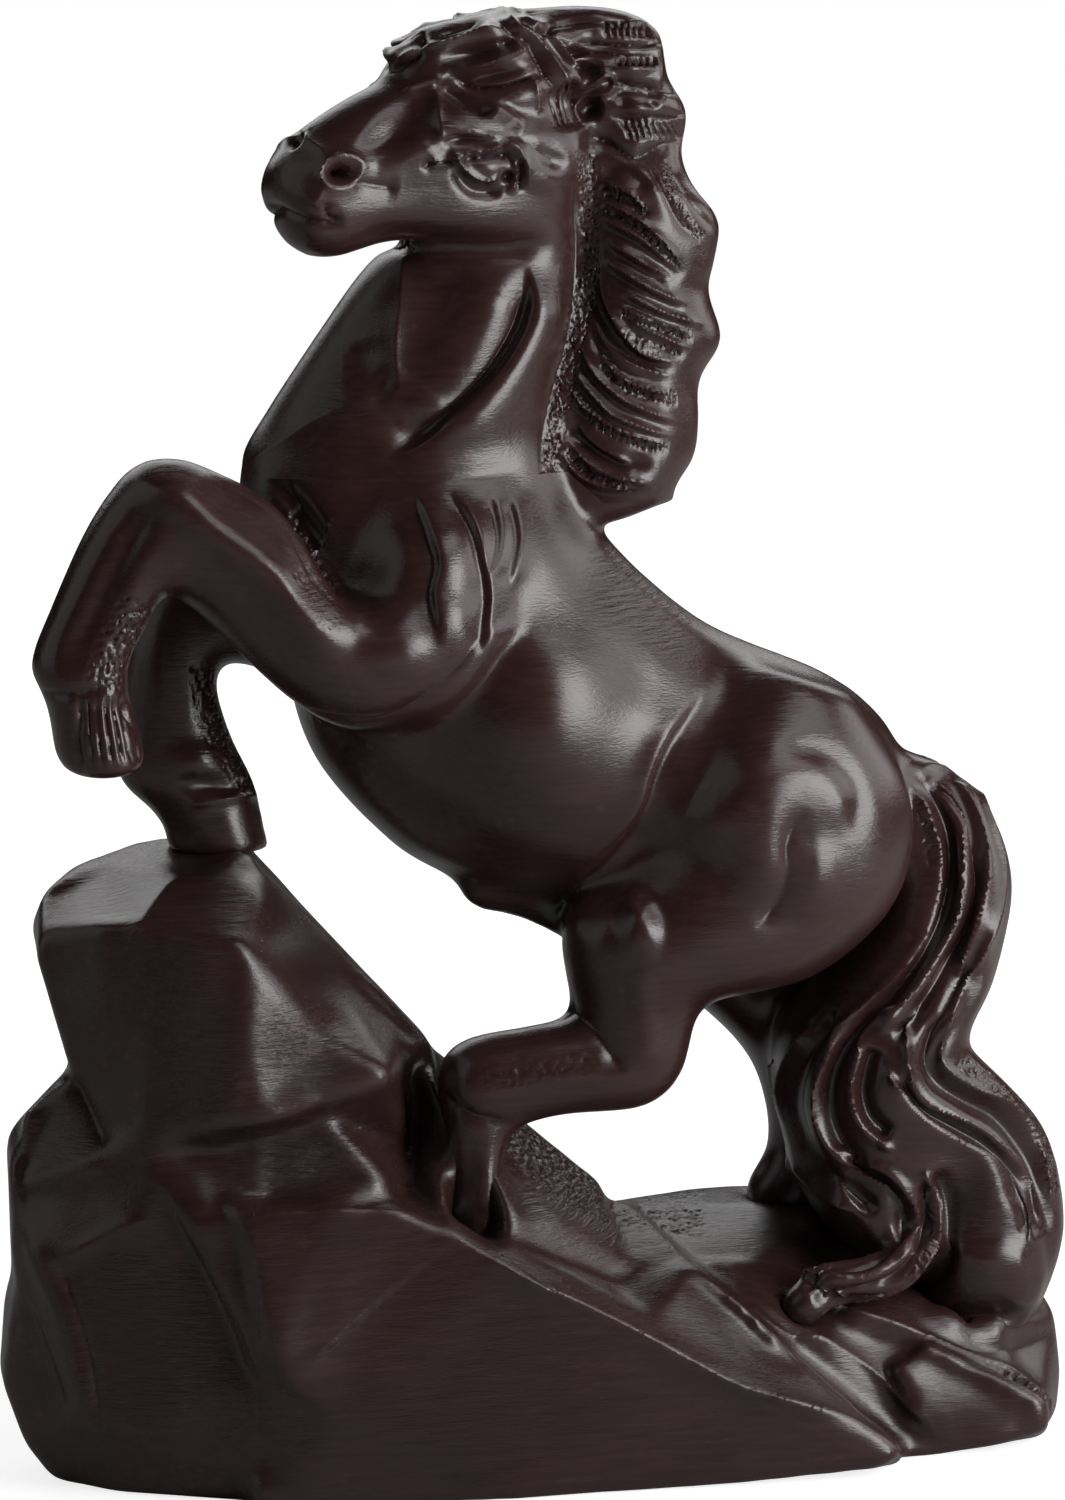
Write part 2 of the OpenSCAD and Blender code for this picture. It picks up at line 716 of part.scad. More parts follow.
module ridge_rock_form() {
    lump([
        [6, -20, 0], [52, -24, 0], [40, -28, 0], [52, -8, 0], [10, -8, 0],
        [8, -21, 19], [24, -20, 23], [35, -22, 17], [40, -22, 13.5], [46, -22.5, 7.5], [24, -10, 27],
        [34, -10, 24], [46, -12, 18], [8, -10, 24]
    ]);
}

module right_rock_form() {
    lump([
        [40, -26, 0], [51, -26, 0], [69, -20.5, 0], [half_len - 2, -11, 0], [half_len - 1, 4, 0], [67, 17, 0],
        [40, 24, 0], [40, -18, 20], [48, -19, 17], [60, -19, 11], [70, -17, 5], [half_len, -8, 6],
        [half_len, -5, 14], [half_len - 2.5, -4, 18], [63, -10, 19], [half_len, 4, 12], [67, 14, 17],
        [44, 20, 22], [42, -6, 22]
    ]);
}

module front_slab() {
    color(rough) difference() {
        front_slab_form();
        horse_form();
    }
}

module left_rock() {
    color(rough) difference() {
        left_rock_form();
        front_slab_form();
        horse_form();
    }
}

module front_boulder() {
    color(rough) difference() {
        front_boulder_form();
        left_rock_form();
        front_slab_form();
        horse_form();
    }
}

module ridge_rock() {
    color(rough) difference() {
        ridge_rock_form();
        front_slab_form();
        horse_form();
    }
}

module right_rock() {
    color(rough) difference() {
        right_rock_form();
        ridge_rock_form();
        front_slab_form();
        horse_form();
    }
}

module back_rock() {
    color(rough) difference() {
        back_rock_form();
        front_boulder_form();
        left_rock_form();
        ridge_rock_form();
        right_rock_form();
        front_slab_form();
        horse_form();
    }
}

torso();
neck();
head();
forelock();
crest();
mane();
near_foreleg();
near_fore_hoof();
far_foreleg();
far_fore_hoof();
near_hind_leg();
near_hind_hoof();
far_hind_leg();
far_hind_hoof();
tail();
front_boulder();
left_rock();
front_slab();
ridge_rock();
right_rock();
back_rock();
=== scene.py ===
import math
from collections import namedtuple

import bmesh
import bpy
import numpy as np
from bpy.props import FloatProperty, FloatVectorProperty, IntProperty, PointerProperty
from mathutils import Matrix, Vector
from mathutils.geometry import delaunay_2d_cdt


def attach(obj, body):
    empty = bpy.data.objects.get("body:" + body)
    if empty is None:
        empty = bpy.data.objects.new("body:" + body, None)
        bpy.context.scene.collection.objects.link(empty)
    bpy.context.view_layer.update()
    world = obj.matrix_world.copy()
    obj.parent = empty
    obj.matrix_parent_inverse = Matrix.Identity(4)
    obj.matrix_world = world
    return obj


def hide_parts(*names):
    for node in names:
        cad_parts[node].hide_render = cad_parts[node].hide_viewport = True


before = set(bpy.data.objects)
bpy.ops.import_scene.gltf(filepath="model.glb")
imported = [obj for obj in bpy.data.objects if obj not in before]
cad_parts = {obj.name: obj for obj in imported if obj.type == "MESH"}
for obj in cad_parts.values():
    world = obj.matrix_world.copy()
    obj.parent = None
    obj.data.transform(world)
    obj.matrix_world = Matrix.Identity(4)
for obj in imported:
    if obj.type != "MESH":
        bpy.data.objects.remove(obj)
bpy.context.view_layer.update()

bl_info = {
    "name": "Carved Wooden Horse",
    "version": (1, 0, 0),
    "blender": (4, 5, 0),
    "location": "View3D > Sidebar > Horse",
    "description": "Carves a dark wooden horse on its rocks, piece by piece, over the packed model",
    "category": "Object",
}

MM = 0.001
BODY = "root"

# The photograph's frame, in its pixels, and the camera's sensor in millimetres
IMAGE = (1065, 1500)
SENSOR = 36.0
MIDDLE = (IMAGE[0] / 2, IMAGE[1] / 2)

ROCKS = ("front_boulder", "left_rock", "front_slab", "ridge_rock", "right_rock", "back_rock")
HORSE = tuple(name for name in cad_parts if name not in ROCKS)

# A stroke follows a path of photo pixels: width and height in mm, cut in where the height is negative.
# A power of 1 gives it a sharp line in the middle, and 2 a round one.
Stroke = namedtuple("Stroke", "width height path power", defaults=(1,))
# A swell is an oval of photo pixels: half sizes in px, turn in degrees, height in mm.
Swell = namedtuple("Swell", "middle reach turn height")
# An easing smooths the wood inside an oval of photo pixels with some passes.
Ease = namedtuple("Ease", "middle reach turn passes")
# A patch is an oval of photo pixels where some of the gouge's chatter was left.
Patch = namedtuple("Patch", "middle reach turn amount")
# A step raises the side on the left of its path and lets it fade over its reach, in mm.
Step = namedtuple("Step", "height edge reach path")
# Stippling fills a band along a path with small pits: width and depth in mm.
Stipple = namedtuple("Stipple", "width depth path")


class HorseFigureSettings(bpy.types.PropertyGroup):
    """Sizes of the carving."""
    blank_voxel: FloatProperty(
        name="Blank voxel", description="Size of the grid on which the blanks are rounded",
        default=0.8 * MM, min=0.5 * MM, max=2 * MM, unit="LENGTH", precision=5)
    head_voxel: FloatProperty(
        name="Head voxel", description="Size of the grid that head, neck and mane are carved on",
        default=0.26 * MM, min=0.2 * MM, max=2 * MM, unit="LENGTH", precision=5)
    tail_voxel: FloatProperty(
        name="Tail voxel", description="Size of the grid that the tail is carved on",
        default=0.32 * MM, min=0.2 * MM, max=2 * MM, unit="LENGTH", precision=5)
    body_voxel: FloatProperty(
        name="Body voxel", description="Size of the grid that body and legs are carved on",
        default=0.4 * MM, min=0.25 * MM, max=2 * MM, unit="LENGTH", precision=5)
    rock_blank_voxel: FloatProperty(
        name="Rock blank voxel", description="Size of the grid on which the rocks' planes are laid out",
        default=0.6 * MM, min=0.3 * MM, max=2 * MM, unit="LENGTH", precision=5)
    rock_voxel: FloatProperty(
        name="Rock voxel", description="Size of the grid that the rocks are carved on",
        default=0.45 * MM, min=0.3 * MM, max=3 * MM, unit="LENGTH", precision=5)
    cut_depth: FloatProperty(
        name="Cut depth", description="Share of the full depth of every carved line",
        default=1.0, min=0.0, max=1.5, subtype="FACTOR")
    rounding: IntProperty(
        name="Rounding", description="Passes that round the blank before it is carved",
        default=40, min=0, max=80)


class HorseFinishSettings(bpy.types.PropertyGroup):
    """Colours and gloss of the waxed wood."""
    coat_colour: FloatVectorProperty(
        name="Coat", description="Waxed wood of the body",
        default=(0.033, 0.0142, 0.0140), size=3, min=0, max=1, subtype="COLOR")
    hair_colour: FloatVectorProperty(
        name="Hair", description="Waxed wood of mane and tail",
        default=(0.032, 0.0140, 0.0138), size=3, min=0, max=1, subtype="COLOR")
    rock_colour: FloatVectorProperty(
        name="Rock", description="Waxed wood of the rocks",
        default=(0.030, 0.0133, 0.0131), size=3, min=0, max=1, subtype="COLOR")
    floor_colour: FloatVectorProperty(
        name="Floor", description="Paper under the figure",
        default=(0.5, 0.5, 0.5), size=3, min=0, max=1, subtype="COLOR")


class HorseStageSettings(bpy.types.PropertyGroup):
    """The photograph's camera and the studio light."""
    azimuth: FloatProperty(
        name="Azimuth", description="Turn of the camera from the near side towards the head",
        default=math.radians(-15), subtype="ANGLE")
    elevation: FloatProperty(
        name="Elevation", description="Angle of the camera above the horizon",
        default=math.radians(9), subtype="ANGLE")
    distance: FloatProperty(
        name="Distance", description="From the camera to the point it aims at",
        default=800 * MM, min=0.1, unit="LENGTH")
    aim_height: FloatProperty(
        name="Aim height", description="Height of the point that the camera aims at",
        default=97.5 * MM, unit="LENGTH")
    lens: FloatProperty(
        name="Lens", description="Focal length of the camera in millimetres",
        default=139.0, min=20)
    key_power: FloatProperty(
        name="Key", description="Power of the softbox at the front right",
        default=2.0, min=0, unit="POWER")
    right_power: FloatProperty(
        name="Right", description="Power of the large panel at the right",
        default=0.95, min=0, unit="POWER")
    top_power: FloatProperty(
        name="Top", description="Power of the panel overhead",
        default=0.7, min=0, unit="POWER")
    left_power: FloatProperty(
        name="Left", description="Power of the tall panel at the left",
        default=1.5, min=0, unit="POWER")
    back_power: FloatProperty(
        name="Back", description="Power of the wide panel behind",
        default=5.8, min=0, unit="POWER")
    fill: FloatProperty(
        name="Fill", description="Strength of the room's own light",
        default=0.008, min=0, max=1, subtype="FACTOR")


# Below this cosine to the camera the tools begin to lose their hold
GRAZING = 0.3


class PhotoView:
    """Where the photograph's camera stands, and the pixel at which it sees a point in millimetres."""

    def __init__(self, stage):
        turn = stage.azimuth
        rise = stage.elevation
        level = math.cos(rise)
        self.back = np.array((math.sin(turn) * level, -math.cos(turn) * level, math.sin(rise)))
        self.right = np.array((math.cos(turn), math.sin(turn), 0.0))
        self.up = np.cross(self.right, -self.back)
        self.aim = np.array((0.0, 0.0, stage.aim_height / MM))
        self.eye = self.aim + self.back * stage.distance / MM
        self.focal = stage.lens / SENSOR * IMAGE[1]
        self.reach = stage.distance / MM
        self.pixels_per_mm = self.focal / self.reach

    def pixels(self, points):
        """Pixels of the points, and how far each is from the camera."""
        ray = points - self.eye
        depth = -(ray @ self.back)
        across = MIDDLE[0] + self.focal * (ray @ self.right) / depth
        down = MIDDLE[1] - self.focal * (ray @ self.up) / depth
        return np.stack((across, down), axis=1), depth

    def facing(self, points, normals):
        """How squarely each point looks at the camera, from 0 at the outline to 1."""
        ray = self.eye - points
        ray /= np.linalg.norm(ray, axis=1)[:, None]
        return np.clip(np.einsum("ij,ij->i", ray, normals) / GRAZING, 0, 1)


def rounded_path(path, spacing=5.0):
    """A smooth curve through the points of a path."""
    points = np.array(path, float)
    ends = np.vstack((2 * points[0] - points[1], points, 2 * points[-1] - points[-2]))
    curve = []
    for a, b, c, d in zip(ends, ends[1:], ends[2:], ends[3:]):
        count = max(2, int(np.linalg.norm(c - b) / spacing))
        for t in np.arange(count) / count:
            curve.append(0.5 * (2 * b + (c - a) * t + (2 * a - 5 * b + 4 * c - d) * t * t
                                + (3 * b - a - 3 * c + d) * t ** 3))
    curve.append(points[-1])
    return np.array(curve)


def measure_path(curve, spots):
    """Distance of each spot from a curve, its side of the curve and its share of the way along."""
    spans = np.diff(curve, axis=0)
    lengths = np.linalg.norm(spans, axis=1)
    starts = np.concatenate(([0], np.cumsum(lengths)))
    near = np.full(len(spots), np.inf)
    side = np.zeros(len(spots))
    along = np.zeros(len(spots))
    for start, span, length, before in zip(curve, spans, lengths, starts):
        to_spot = spots - start
        share = np.clip(to_spot @ span / length ** 2, 0, 1)
        off = to_spot - share[:, None] * span
        gap = np.hypot(off[:, 0], off[:, 1])
        closer = gap < near
        near[closer] = gap[closer]
        side[closer] = (span[0] * to_spot[:, 1] - span[1] * to_spot[:, 0])[closer]
        along[closer] = (before + share * length)[closer]
    return near, np.where(side < 0, near, -near), along / starts[-1]


def ease(x):
    """A smooth rise from 0 to 1."""
    x = np.clip(x, 0, 1)
    return x * x * (3 - 2 * x)


def seen(pixels, depth, cell=5.0, behind=3.5):
    """1 for a point that nothing hides from the camera, 0 for one well behind another."""
    spots = np.floor(pixels / cell).astype(np.int64)
    spots -= spots.min(axis=0) - 1
    rows, columns = spots.max(axis=0) + 2
    nearest = np.full((rows, columns), np.inf)
    np.minimum.at(nearest, (spots[:, 0], spots[:, 1]), depth)
    return ease(2 - (depth - nearest[spots[:, 0], spots[:, 1]]) / behind)


# Mirrors that show the far side: their place in mm and their direction. The near side needs none, and the
# head has its own, as it is turned to the near side.
HEAD_TURN = math.radians(18)
MIRRORS = {
    "near": None,
    "body": (np.zeros(3), np.array((0.0, 1.0, 0.0))),
    "head": (np.array((4.0, 0.0, 0.0)), np.array((-math.sin(HEAD_TURN), math.cos(HEAD_TURN), 0.0))),
}
BOTH = ("near", "body")
HEAD = ("near", "head")
NEAR = ("near",)
# Width over which the two sides meet, in mm
SEAM = 2.0
# How far from its path a stroke or a step still moves the wood, in its own widths or reaches
STROKE_REACH = 3.2
STEP_REACH = 2.2
# Share of the way to its neighbours that a point moves in one pass
SMOOTHING = 0.8
PIT_SEED = 7
FAR = 120.0
ALL_DEPTHS = (-FAR, FAR)


def oval(pixels, middle, reach, turn):
    """One in the middle of a turned oval, easing to nothing at its edge."""
    cos = math.cos(math.radians(turn))
    sin = math.sin(math.radians(turn))
    off = pixels - np.array(middle, float)
    u = (off[:, 0] * cos + off[:, 1] * sin) / reach[0]
    v = (off[:, 1] * cos - off[:, 0] * sin) / reach[1]
    return ease(1.0 - np.hypot(u, v))


class Clay:
    """A form while it is carved: its points and normals in millimetres, and where the camera sees them."""

    def __init__(self, mesh, view, depth):
        self.mesh = mesh
        self.view = view
        self.depth = depth
        self.scale = view.pixels_per_mm
        count = len(mesh.vertices)
        flat = np.empty(count * 3)
        mesh.vertices.foreach_get("co", flat)
        self.points = flat.reshape(-1, 3) / MM
        ends = np.empty(len(mesh.edges) * 2, np.int64)
        mesh.edges.foreach_get("vertices", ends)
        self.edges = ends.reshape(-1, 2)
        self.lift = np.zeros(count)
        self.settle()

    def settle(self):
        """Applies what was lifted, then finds the normals and the pixels again."""
        if self.lift.any():
            self.points += self.normals * self.lift[:, None]
            self.lift[:] = 0
        self.mesh.vertices.foreach_set("co", (self.points * MM).ravel())
        self.mesh.update()
        flat = np.empty(self.points.size)
        self.mesh.vertex_normals.foreach_get("vector", flat)
        self.normals = flat.reshape(-1, 3)
        self.look()

    def look(self):
        """The near side as the camera sees it, and far sides as a mirror would show them to the camera."""
        self.sides = {}
        for name, mirror in MIRRORS.items():
            points = self.points
            normals = self.normals
            share = 1.0
            if mirror:
                middle, across = mirror
                offset = (points - middle) @ across
                points = points - 2 * offset[:, None] * across
                normals = normals - 2 * (normals @ across)[:, None] * across
                share = 1 - ease((SEAM - offset) / (2 * SEAM))
            pixels, depth = self.view.pixels(points)
            self.sides[name] = (pixels, share * self.view.facing(points, normals), seen(pixels, depth))

    def smooth(self, passes, share=1.0, keep=True):
        """Rounds the form. A second, opposite round gives back most of what the first took off."""
        a, b = self.edges.T
        count = len(self.points)
        valence = np.bincount(a, minlength=count) + np.bincount(b, minlength=count)
        weight = np.broadcast_to(share, count)[:, None] * SMOOTHING

        def rounds(values):
            for _ in range(passes):
                mean = np.empty_like(values)
                for axis in range(3):
                    column = values[:, axis]
                    total = np.bincount(a, column[b], count) + np.bincount(b, column[a], count)
                    mean[:, axis] = total / valence
                values = values + (mean - values) * weight
            return values

        once = rounds(self.points)
        self.points = 2 * once - rounds(once) if keep else once
        self.settle()

    def places(self, box, reach, sides, within=ALL_DEPTHS, hidden=False):
        """For each side, the points near a path or oval, with their pixels and the tool's weight."""
        low = box[0] - reach
        high = box[1] + reach
        y = self.points[:, 1]
        for side in sides:
            pixels, weight, shown = self.sides[side]
            inside = (weight > 0) & (y > within[0]) & (y < within[1])
            inside &= ((pixels > low) & (pixels < high)).all(axis=1)
            chosen = np.nonzero(inside)[0]
            if len(chosen):
                power = weight[chosen] if hidden else weight[chosen] * shown[chosen]
                yield chosen, pixels[chosen], power

    def along(self, path, reach, sides, taper, within=ALL_DEPTHS, hidden=False):
        """For each side, the points near a path, their distances from it, its fading ends and the weight."""
        curve = rounded_path(path)
        box = (curve.min(axis=0), curve.max(axis=0))
        for chosen, pixels, weight in self.places(box, reach * self.scale, sides, within, hidden):
            near, side, share = measure_path(curve, pixels)
            yield chosen, near, side, ease(np.minimum(share, 1 - share) / taper), weight

    def relief(self, marks, limit):
        """Pulls what the camera sees to the depths of given points, and evenly between them."""
        spots = np.array([mark[:2] for mark in marks], float)
        levels = np.array([mark[2] for mark in marks], float)
        faces = delaunay_2d_cdt([Vector(spot) for spot in spots], [], [], 0, 1e-3)[2]
        pixels, weight, shown = self.sides["near"]
        _, depth = self.view.pixels(self.points)
        near = self.view.reach - depth
        shift = np.zeros(len(self.points))
        for face in faces:
            a, b, c = spots[list(face)]
            u, v = np.linalg.inv(np.array((b - a, c - a)).T) @ (pixels - a).T
            inside = (u >= 0) & (v >= 0) & (u + v <= 1)
            first, second, third = levels[list(face)]
            level = first + u * (second - first) + v * (third - first)
            shift[inside] = np.clip(level - near, -limit, limit)[inside]
        ray = self.view.eye - self.points
        ray /= np.linalg.norm(ray, axis=1)[:, None]
        self.points += ray * (shift * shown * ease(weight * 2))[:, None]
        self.settle()

    def stroke(self, marks, sides=BOTH, within=ALL_DEPTHS, hidden=False, taper=0.25):
        """Raises ridges or cuts grooves along paths."""
        for width, height, path, power in marks:
            reach = STROKE_REACH * width
            for chosen, near, _, ends, weight in self.along(path, reach, sides, taper, within, hidden):
                profile = np.exp(-(near / (width * self.scale)) ** power)
                self.lift[chosen] += height * self.depth * profile * ends * weight

    def swell(self, marks, sides=BOTH):
        """Raises or sinks ovals."""
        for middle, reach, turn, height in marks:
            centre = np.array(middle, float)
            for chosen, pixels, weight in self.places((centre, centre), max(reach), sides):
                self.lift[chosen] += height * self.depth * oval(pixels, middle, reach, turn) * weight

    def ease(self, marks, sides=BOTH):
        """Smooths the wood inside ovals."""
        for middle, reach, turn, passes in marks:
            for name in sides:
                self.smooth(passes, oval(self.sides[name][0], middle, reach, turn), False)

    def step(self, marks, sides=BOTH, taper=0.3):
        """Raises one side of each path over the other."""
        for height, edge, reach, path in marks:
            for chosen, _, side, ends, weight in self.along(path, STEP_REACH * reach, sides, taper):
                side = side / self.scale
                fade = np.exp(-(side / reach) ** 2)
                self.lift[chosen] += height * self.depth * np.tanh(side / edge) * fade * ends * weight

    def stipple(self, marks, sides=BOTH, taper=0.05):
        """Pits bands along paths, with a few deep pits among many shallow ones."""
        pits = np.random.default_rng(PIT_SEED).random(len(self.points)) ** 3
        for width, depth, path in marks:
            for chosen, near, _, ends, weight in self.along(path, width, sides, taper):
                band = ease(3 - 3 * near / (width * self.scale)) * ends
                self.lift[chosen] -= depth * self.depth * pits[chosen] * band * weight


def blank(nodes, name, core=()):
    """One closed mesh out of copies of CAD nodes, and of blocks inside them."""
    bm = bmesh.new()
    for block in core:
        bm.from_mesh(block_mesh([block]))
    for node in nodes:
        bm.from_mesh(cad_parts[node].data)
    bmesh.ops.remove_doubles(bm, verts=bm.verts[:], dist=1e-6)
    mesh = bpy.data.meshes.new(name)
    bm.to_mesh(mesh)
    bm.free()
    return mesh


def baked(mesh, name, add_modifiers):
    """The mesh with modifiers applied, and no object left behind."""
    thing = bpy.data.objects.new(name, mesh)
    bpy.context.scene.collection.objects.link(thing)
    add_modifiers(thing)
    graph = bpy.context.evaluated_depsgraph_get()
    result = bpy.data.meshes.new_from_object(thing.evaluated_get(graph))
    bpy.data.objects.remove(thing)
    return result


def gridded(mesh, voxel):
    """The same form on an even grid."""
    def add_modifiers(thing):
        remesh = thing.modifiers.new("Grid", "REMESH")
        remesh.mode = "VOXEL"
        remesh.voxel_size = voxel
    return baked(mesh, "gridded", add_modifiers)


def lines(width, height, power, *paths):
    """Strokes of one width and height."""
    return [Stroke(width, height, path, power) for path in paths]


def shifted(strokes, across, down, width, height, power):
    """The same paths moved by some pixels, as strokes of another size."""
    paths = [[(u + across, v + down) for u, v in mark.path] for mark in strokes]
    return lines(width, height, power, *paths)


NECK_GROOVE = [(527, 262), (528, 300), (517, 335), (492, 375), (458, 410), (425, 435), (385, 460)]
# The band behind the groove of the neck stands over the one before it
NECK_STEPS = [Step(1.4, 0.5, 5.5, NECK_GROOVE)]
NECK_STROKES = [
    Stroke(1.2, -1.0, NECK_GROOVE),
    Stroke(5.0, 1.6, [(490, 258), (490, 300), (470, 345), (437, 390), (395, 430)], 2),
    Stroke(4.2, 0.8, [(552, 262), (547, 320), (520, 370), (480, 415), (435, 450)], 2),
    Stroke(6.0, -1.4, [(450, 252), (440, 310), (425, 350), (400, 405)], 2),
    Stroke(2.4, 1.0, [(405, 242), (402, 290), (397, 330), (396, 360), (402, 402)]),
    Stroke(2.4, 0.9, [(406, 392), (380, 398), (345, 408), (310, 425), (285, 442), (262, 455),
                      (236, 472)]),
    Stroke(2.6, -0.6, [(362, 335), (366, 378), (398, 392)], 2),
    Stroke(1.4, -0.3, [(350, 488), (400, 480), (420, 480), (450, 477), (480, 476), (530, 470)], 2),
]

SHOULDER_SWELLS = [
    Swell((408, 540), (60, 66), 6, 0.9),
    Swell((458, 540), (44, 60), -6, 0.9),
    Swell((402, 640), (50, 54), 8, 0.9),
    Swell((456, 625), (40, 44), 0, 0.6),
]
# Pads of the shoulder: each one's left edge stands over the one before it
SHOULDER_STEPS = [
    Step(0.5, 0.3, 4.6, [(414, 488), (428, 535), (436, 565), (431, 598), (444, 650)]),
    Step(0.5, 0.3, 4.0, [(448, 488), (470, 528), (480, 560), (486, 598), (474, 655)]),
    Step(0.3, 0.3, 2.2, [(490, 492), (498, 522), (498, 548), (488, 580)]),
    Step(0.3, 0.3, 2.2, [(508, 492), (517, 525), (517, 550), (506, 590)]),
]
SHOULDER_STROKES = [
    Stroke(0.6, -0.3, [(418, 500), (428, 535), (436, 565), (431, 598), (440, 636)], 2),
    Stroke(0.6, -0.3, [(455, 500), (470, 528), (480, 560), (486, 598), (478, 640)], 2),
    Stroke(1.4, -0.6, [(290, 704), (343, 719), (385, 718), (418, 702), (443, 682), (464, 660), (482, 636),
                       (512, 610)]),
    Stroke(1.6, 0.7, [(395, 735), (425, 716), (452, 694), (474, 668), (494, 640), (530, 612)], 2),
]

FLANK_STEPS = [
    Step(0.8, 0.6, 5.0, [(545, 896), (575, 880), (600, 860), (625, 835), (643, 805), (652, 775),
                         (665, 745), (685, 715), (712, 680)]),
]
FLANK_SWELLS = [Swell((535, 720), (125, 150), 0, 4.0), Swell((692, 858), (90, 44), 8, -0.9)]
HAUNCH_SWELLS = [
    Swell((766, 866), (46, 66), 10, 0.9),
    Swell((814, 878), (38, 56), 8, 0.8),
    Swell((640, 924), (30, 46), -8, 1.4),
    Swell((735, 800), (115, 115), 0, 2.6),
]
HAUNCH_STROKES = [
    Stroke(4.2, 0.7, [(720, 790), (780, 776), (815, 780), (838, 800), (846, 840)], 2),
    Stroke(4.0, 0.4, [(645, 802), (700, 816), (760, 812), (805, 804)], 2),
    Stroke(1.8, -1.0, [(808, 806), (796, 824), (789, 848), (790, 872), (780, 902), (752, 934)]),
    Stroke(1.8, -0.6, [(770, 752), (815, 751), (845, 770), (857, 800), (852, 845)], 2),
    Stroke(2.4, -0.5, [(572, 906), (600, 890), (630, 886), (658, 902), (672, 940)], 2),
]

# The bright lines of the mane are sharp ridges between gouged flutes.
MANE_RIDGES = lines(
    0.5, 0.9, 1,
    [(598, 180), (617, 188), (630, 194), (648, 212)],
    [(598, 200), (627, 213), (647, 227), (664, 244), (686, 272)],
    [(598, 216), (620, 227), (643, 240), (663, 257), (682, 274)],
    [(606, 241), (630, 255), (650, 267), (674, 278)],
    [(602, 258), (620, 270), (640, 283), (660, 293), (690, 306)],
    [(616, 288), (643, 302), (663, 312), (680, 318), (706, 326)],
    [(611, 303), (633, 313), (657, 323), (673, 328), (698, 336)],
    [(624, 318), (647, 330), (670, 340), (690, 350)],
    [(599, 272), (603, 293), (610, 313), (620, 330), (632, 344), (650, 356), (680, 364)],
    [(592, 312), (602, 340), (617, 357), (637, 368), (676, 377)],
    [(597, 346), (610, 367), (627, 381), (643, 388), (675, 398)],
    [(577, 342), (590, 367), (603, 383), (623, 400), (647, 411), (680, 424)],
    [(570, 362), (580, 380), (597, 400), (613, 416), (640, 427), (676, 438)],
    [(566, 382), (583, 407), (600, 419), (617, 430), (640, 438), (674, 447)],
    [(576, 424), (597, 443), (613, 453), (634, 466)],
    [(563, 436), (580, 457), (597, 470), (617, 478), (656, 485)],
    [(560, 450), (573, 470), (587, 480), (610, 488), (646, 489)],
)
MANE_GROOVES = shifted(MANE_RIDGES, -2, 8, 0.9, -0.55, 2)
MANE_STROKES = [
    Stroke(1.3, -0.9, [(574, 140), (577, 200), (579, 250), (575, 300), (566, 350), (553, 400), (543, 450),
                       (540, 500)]),
    Stroke(1.6, -0.9, [(594, 268), (593, 305), (600, 330), (614, 348), (639, 361), (676, 369)], 2),
    Stroke(1.6, -0.9, [(568, 404), (572, 428), (588, 446), (615, 460), (660, 466)], 2),
    Stroke(1.4, -0.9, [(596, 172), (620, 170), (636, 177), (652, 192)], 2),
    Stroke(1.3, -0.9, [(556, 486), (568, 510), (584, 526), (612, 548)]),
    Stroke(0.9, -0.7, [(648, 150), (664, 190), (680, 222), (702, 244)]),
    Stroke(0.9, -0.6, [(668, 150), (683, 180), (698, 208), (720, 236)]),
]
MANE_STIPPLE = [
    Stipple(1.7, 0.4, [(586, 142), (589, 200), (590, 250), (585, 300), (574, 350), (561, 400), (552, 450),
                       (550, 500)]),
    Stipple(1.1, 0.4, [(600, 188), (630, 199), (648, 216)]),
    Stipple(0.8, 0.4, [(600, 208), (630, 221), (655, 240), (680, 268)]),
    Stipple(0.8, 0.4, [(614, 310), (650, 324), (694, 338)]),
    Stipple(0.9, 0.4, [(620, 334), (650, 348), (682, 352)]),
    Stipple(1.1, 0.4, [(602, 356), (620, 380), (650, 394), (680, 400)]),
    Stipple(0.8, 0.4, [(572, 390), (600, 424), (640, 443), (670, 448)]),
    Stipple(0.8, 0.4, [(566, 445), (590, 474), (636, 488)]),
    Stipple(0.9, 0.3, [(662, 160), (674, 195), (690, 225), (704, 240)]),
]

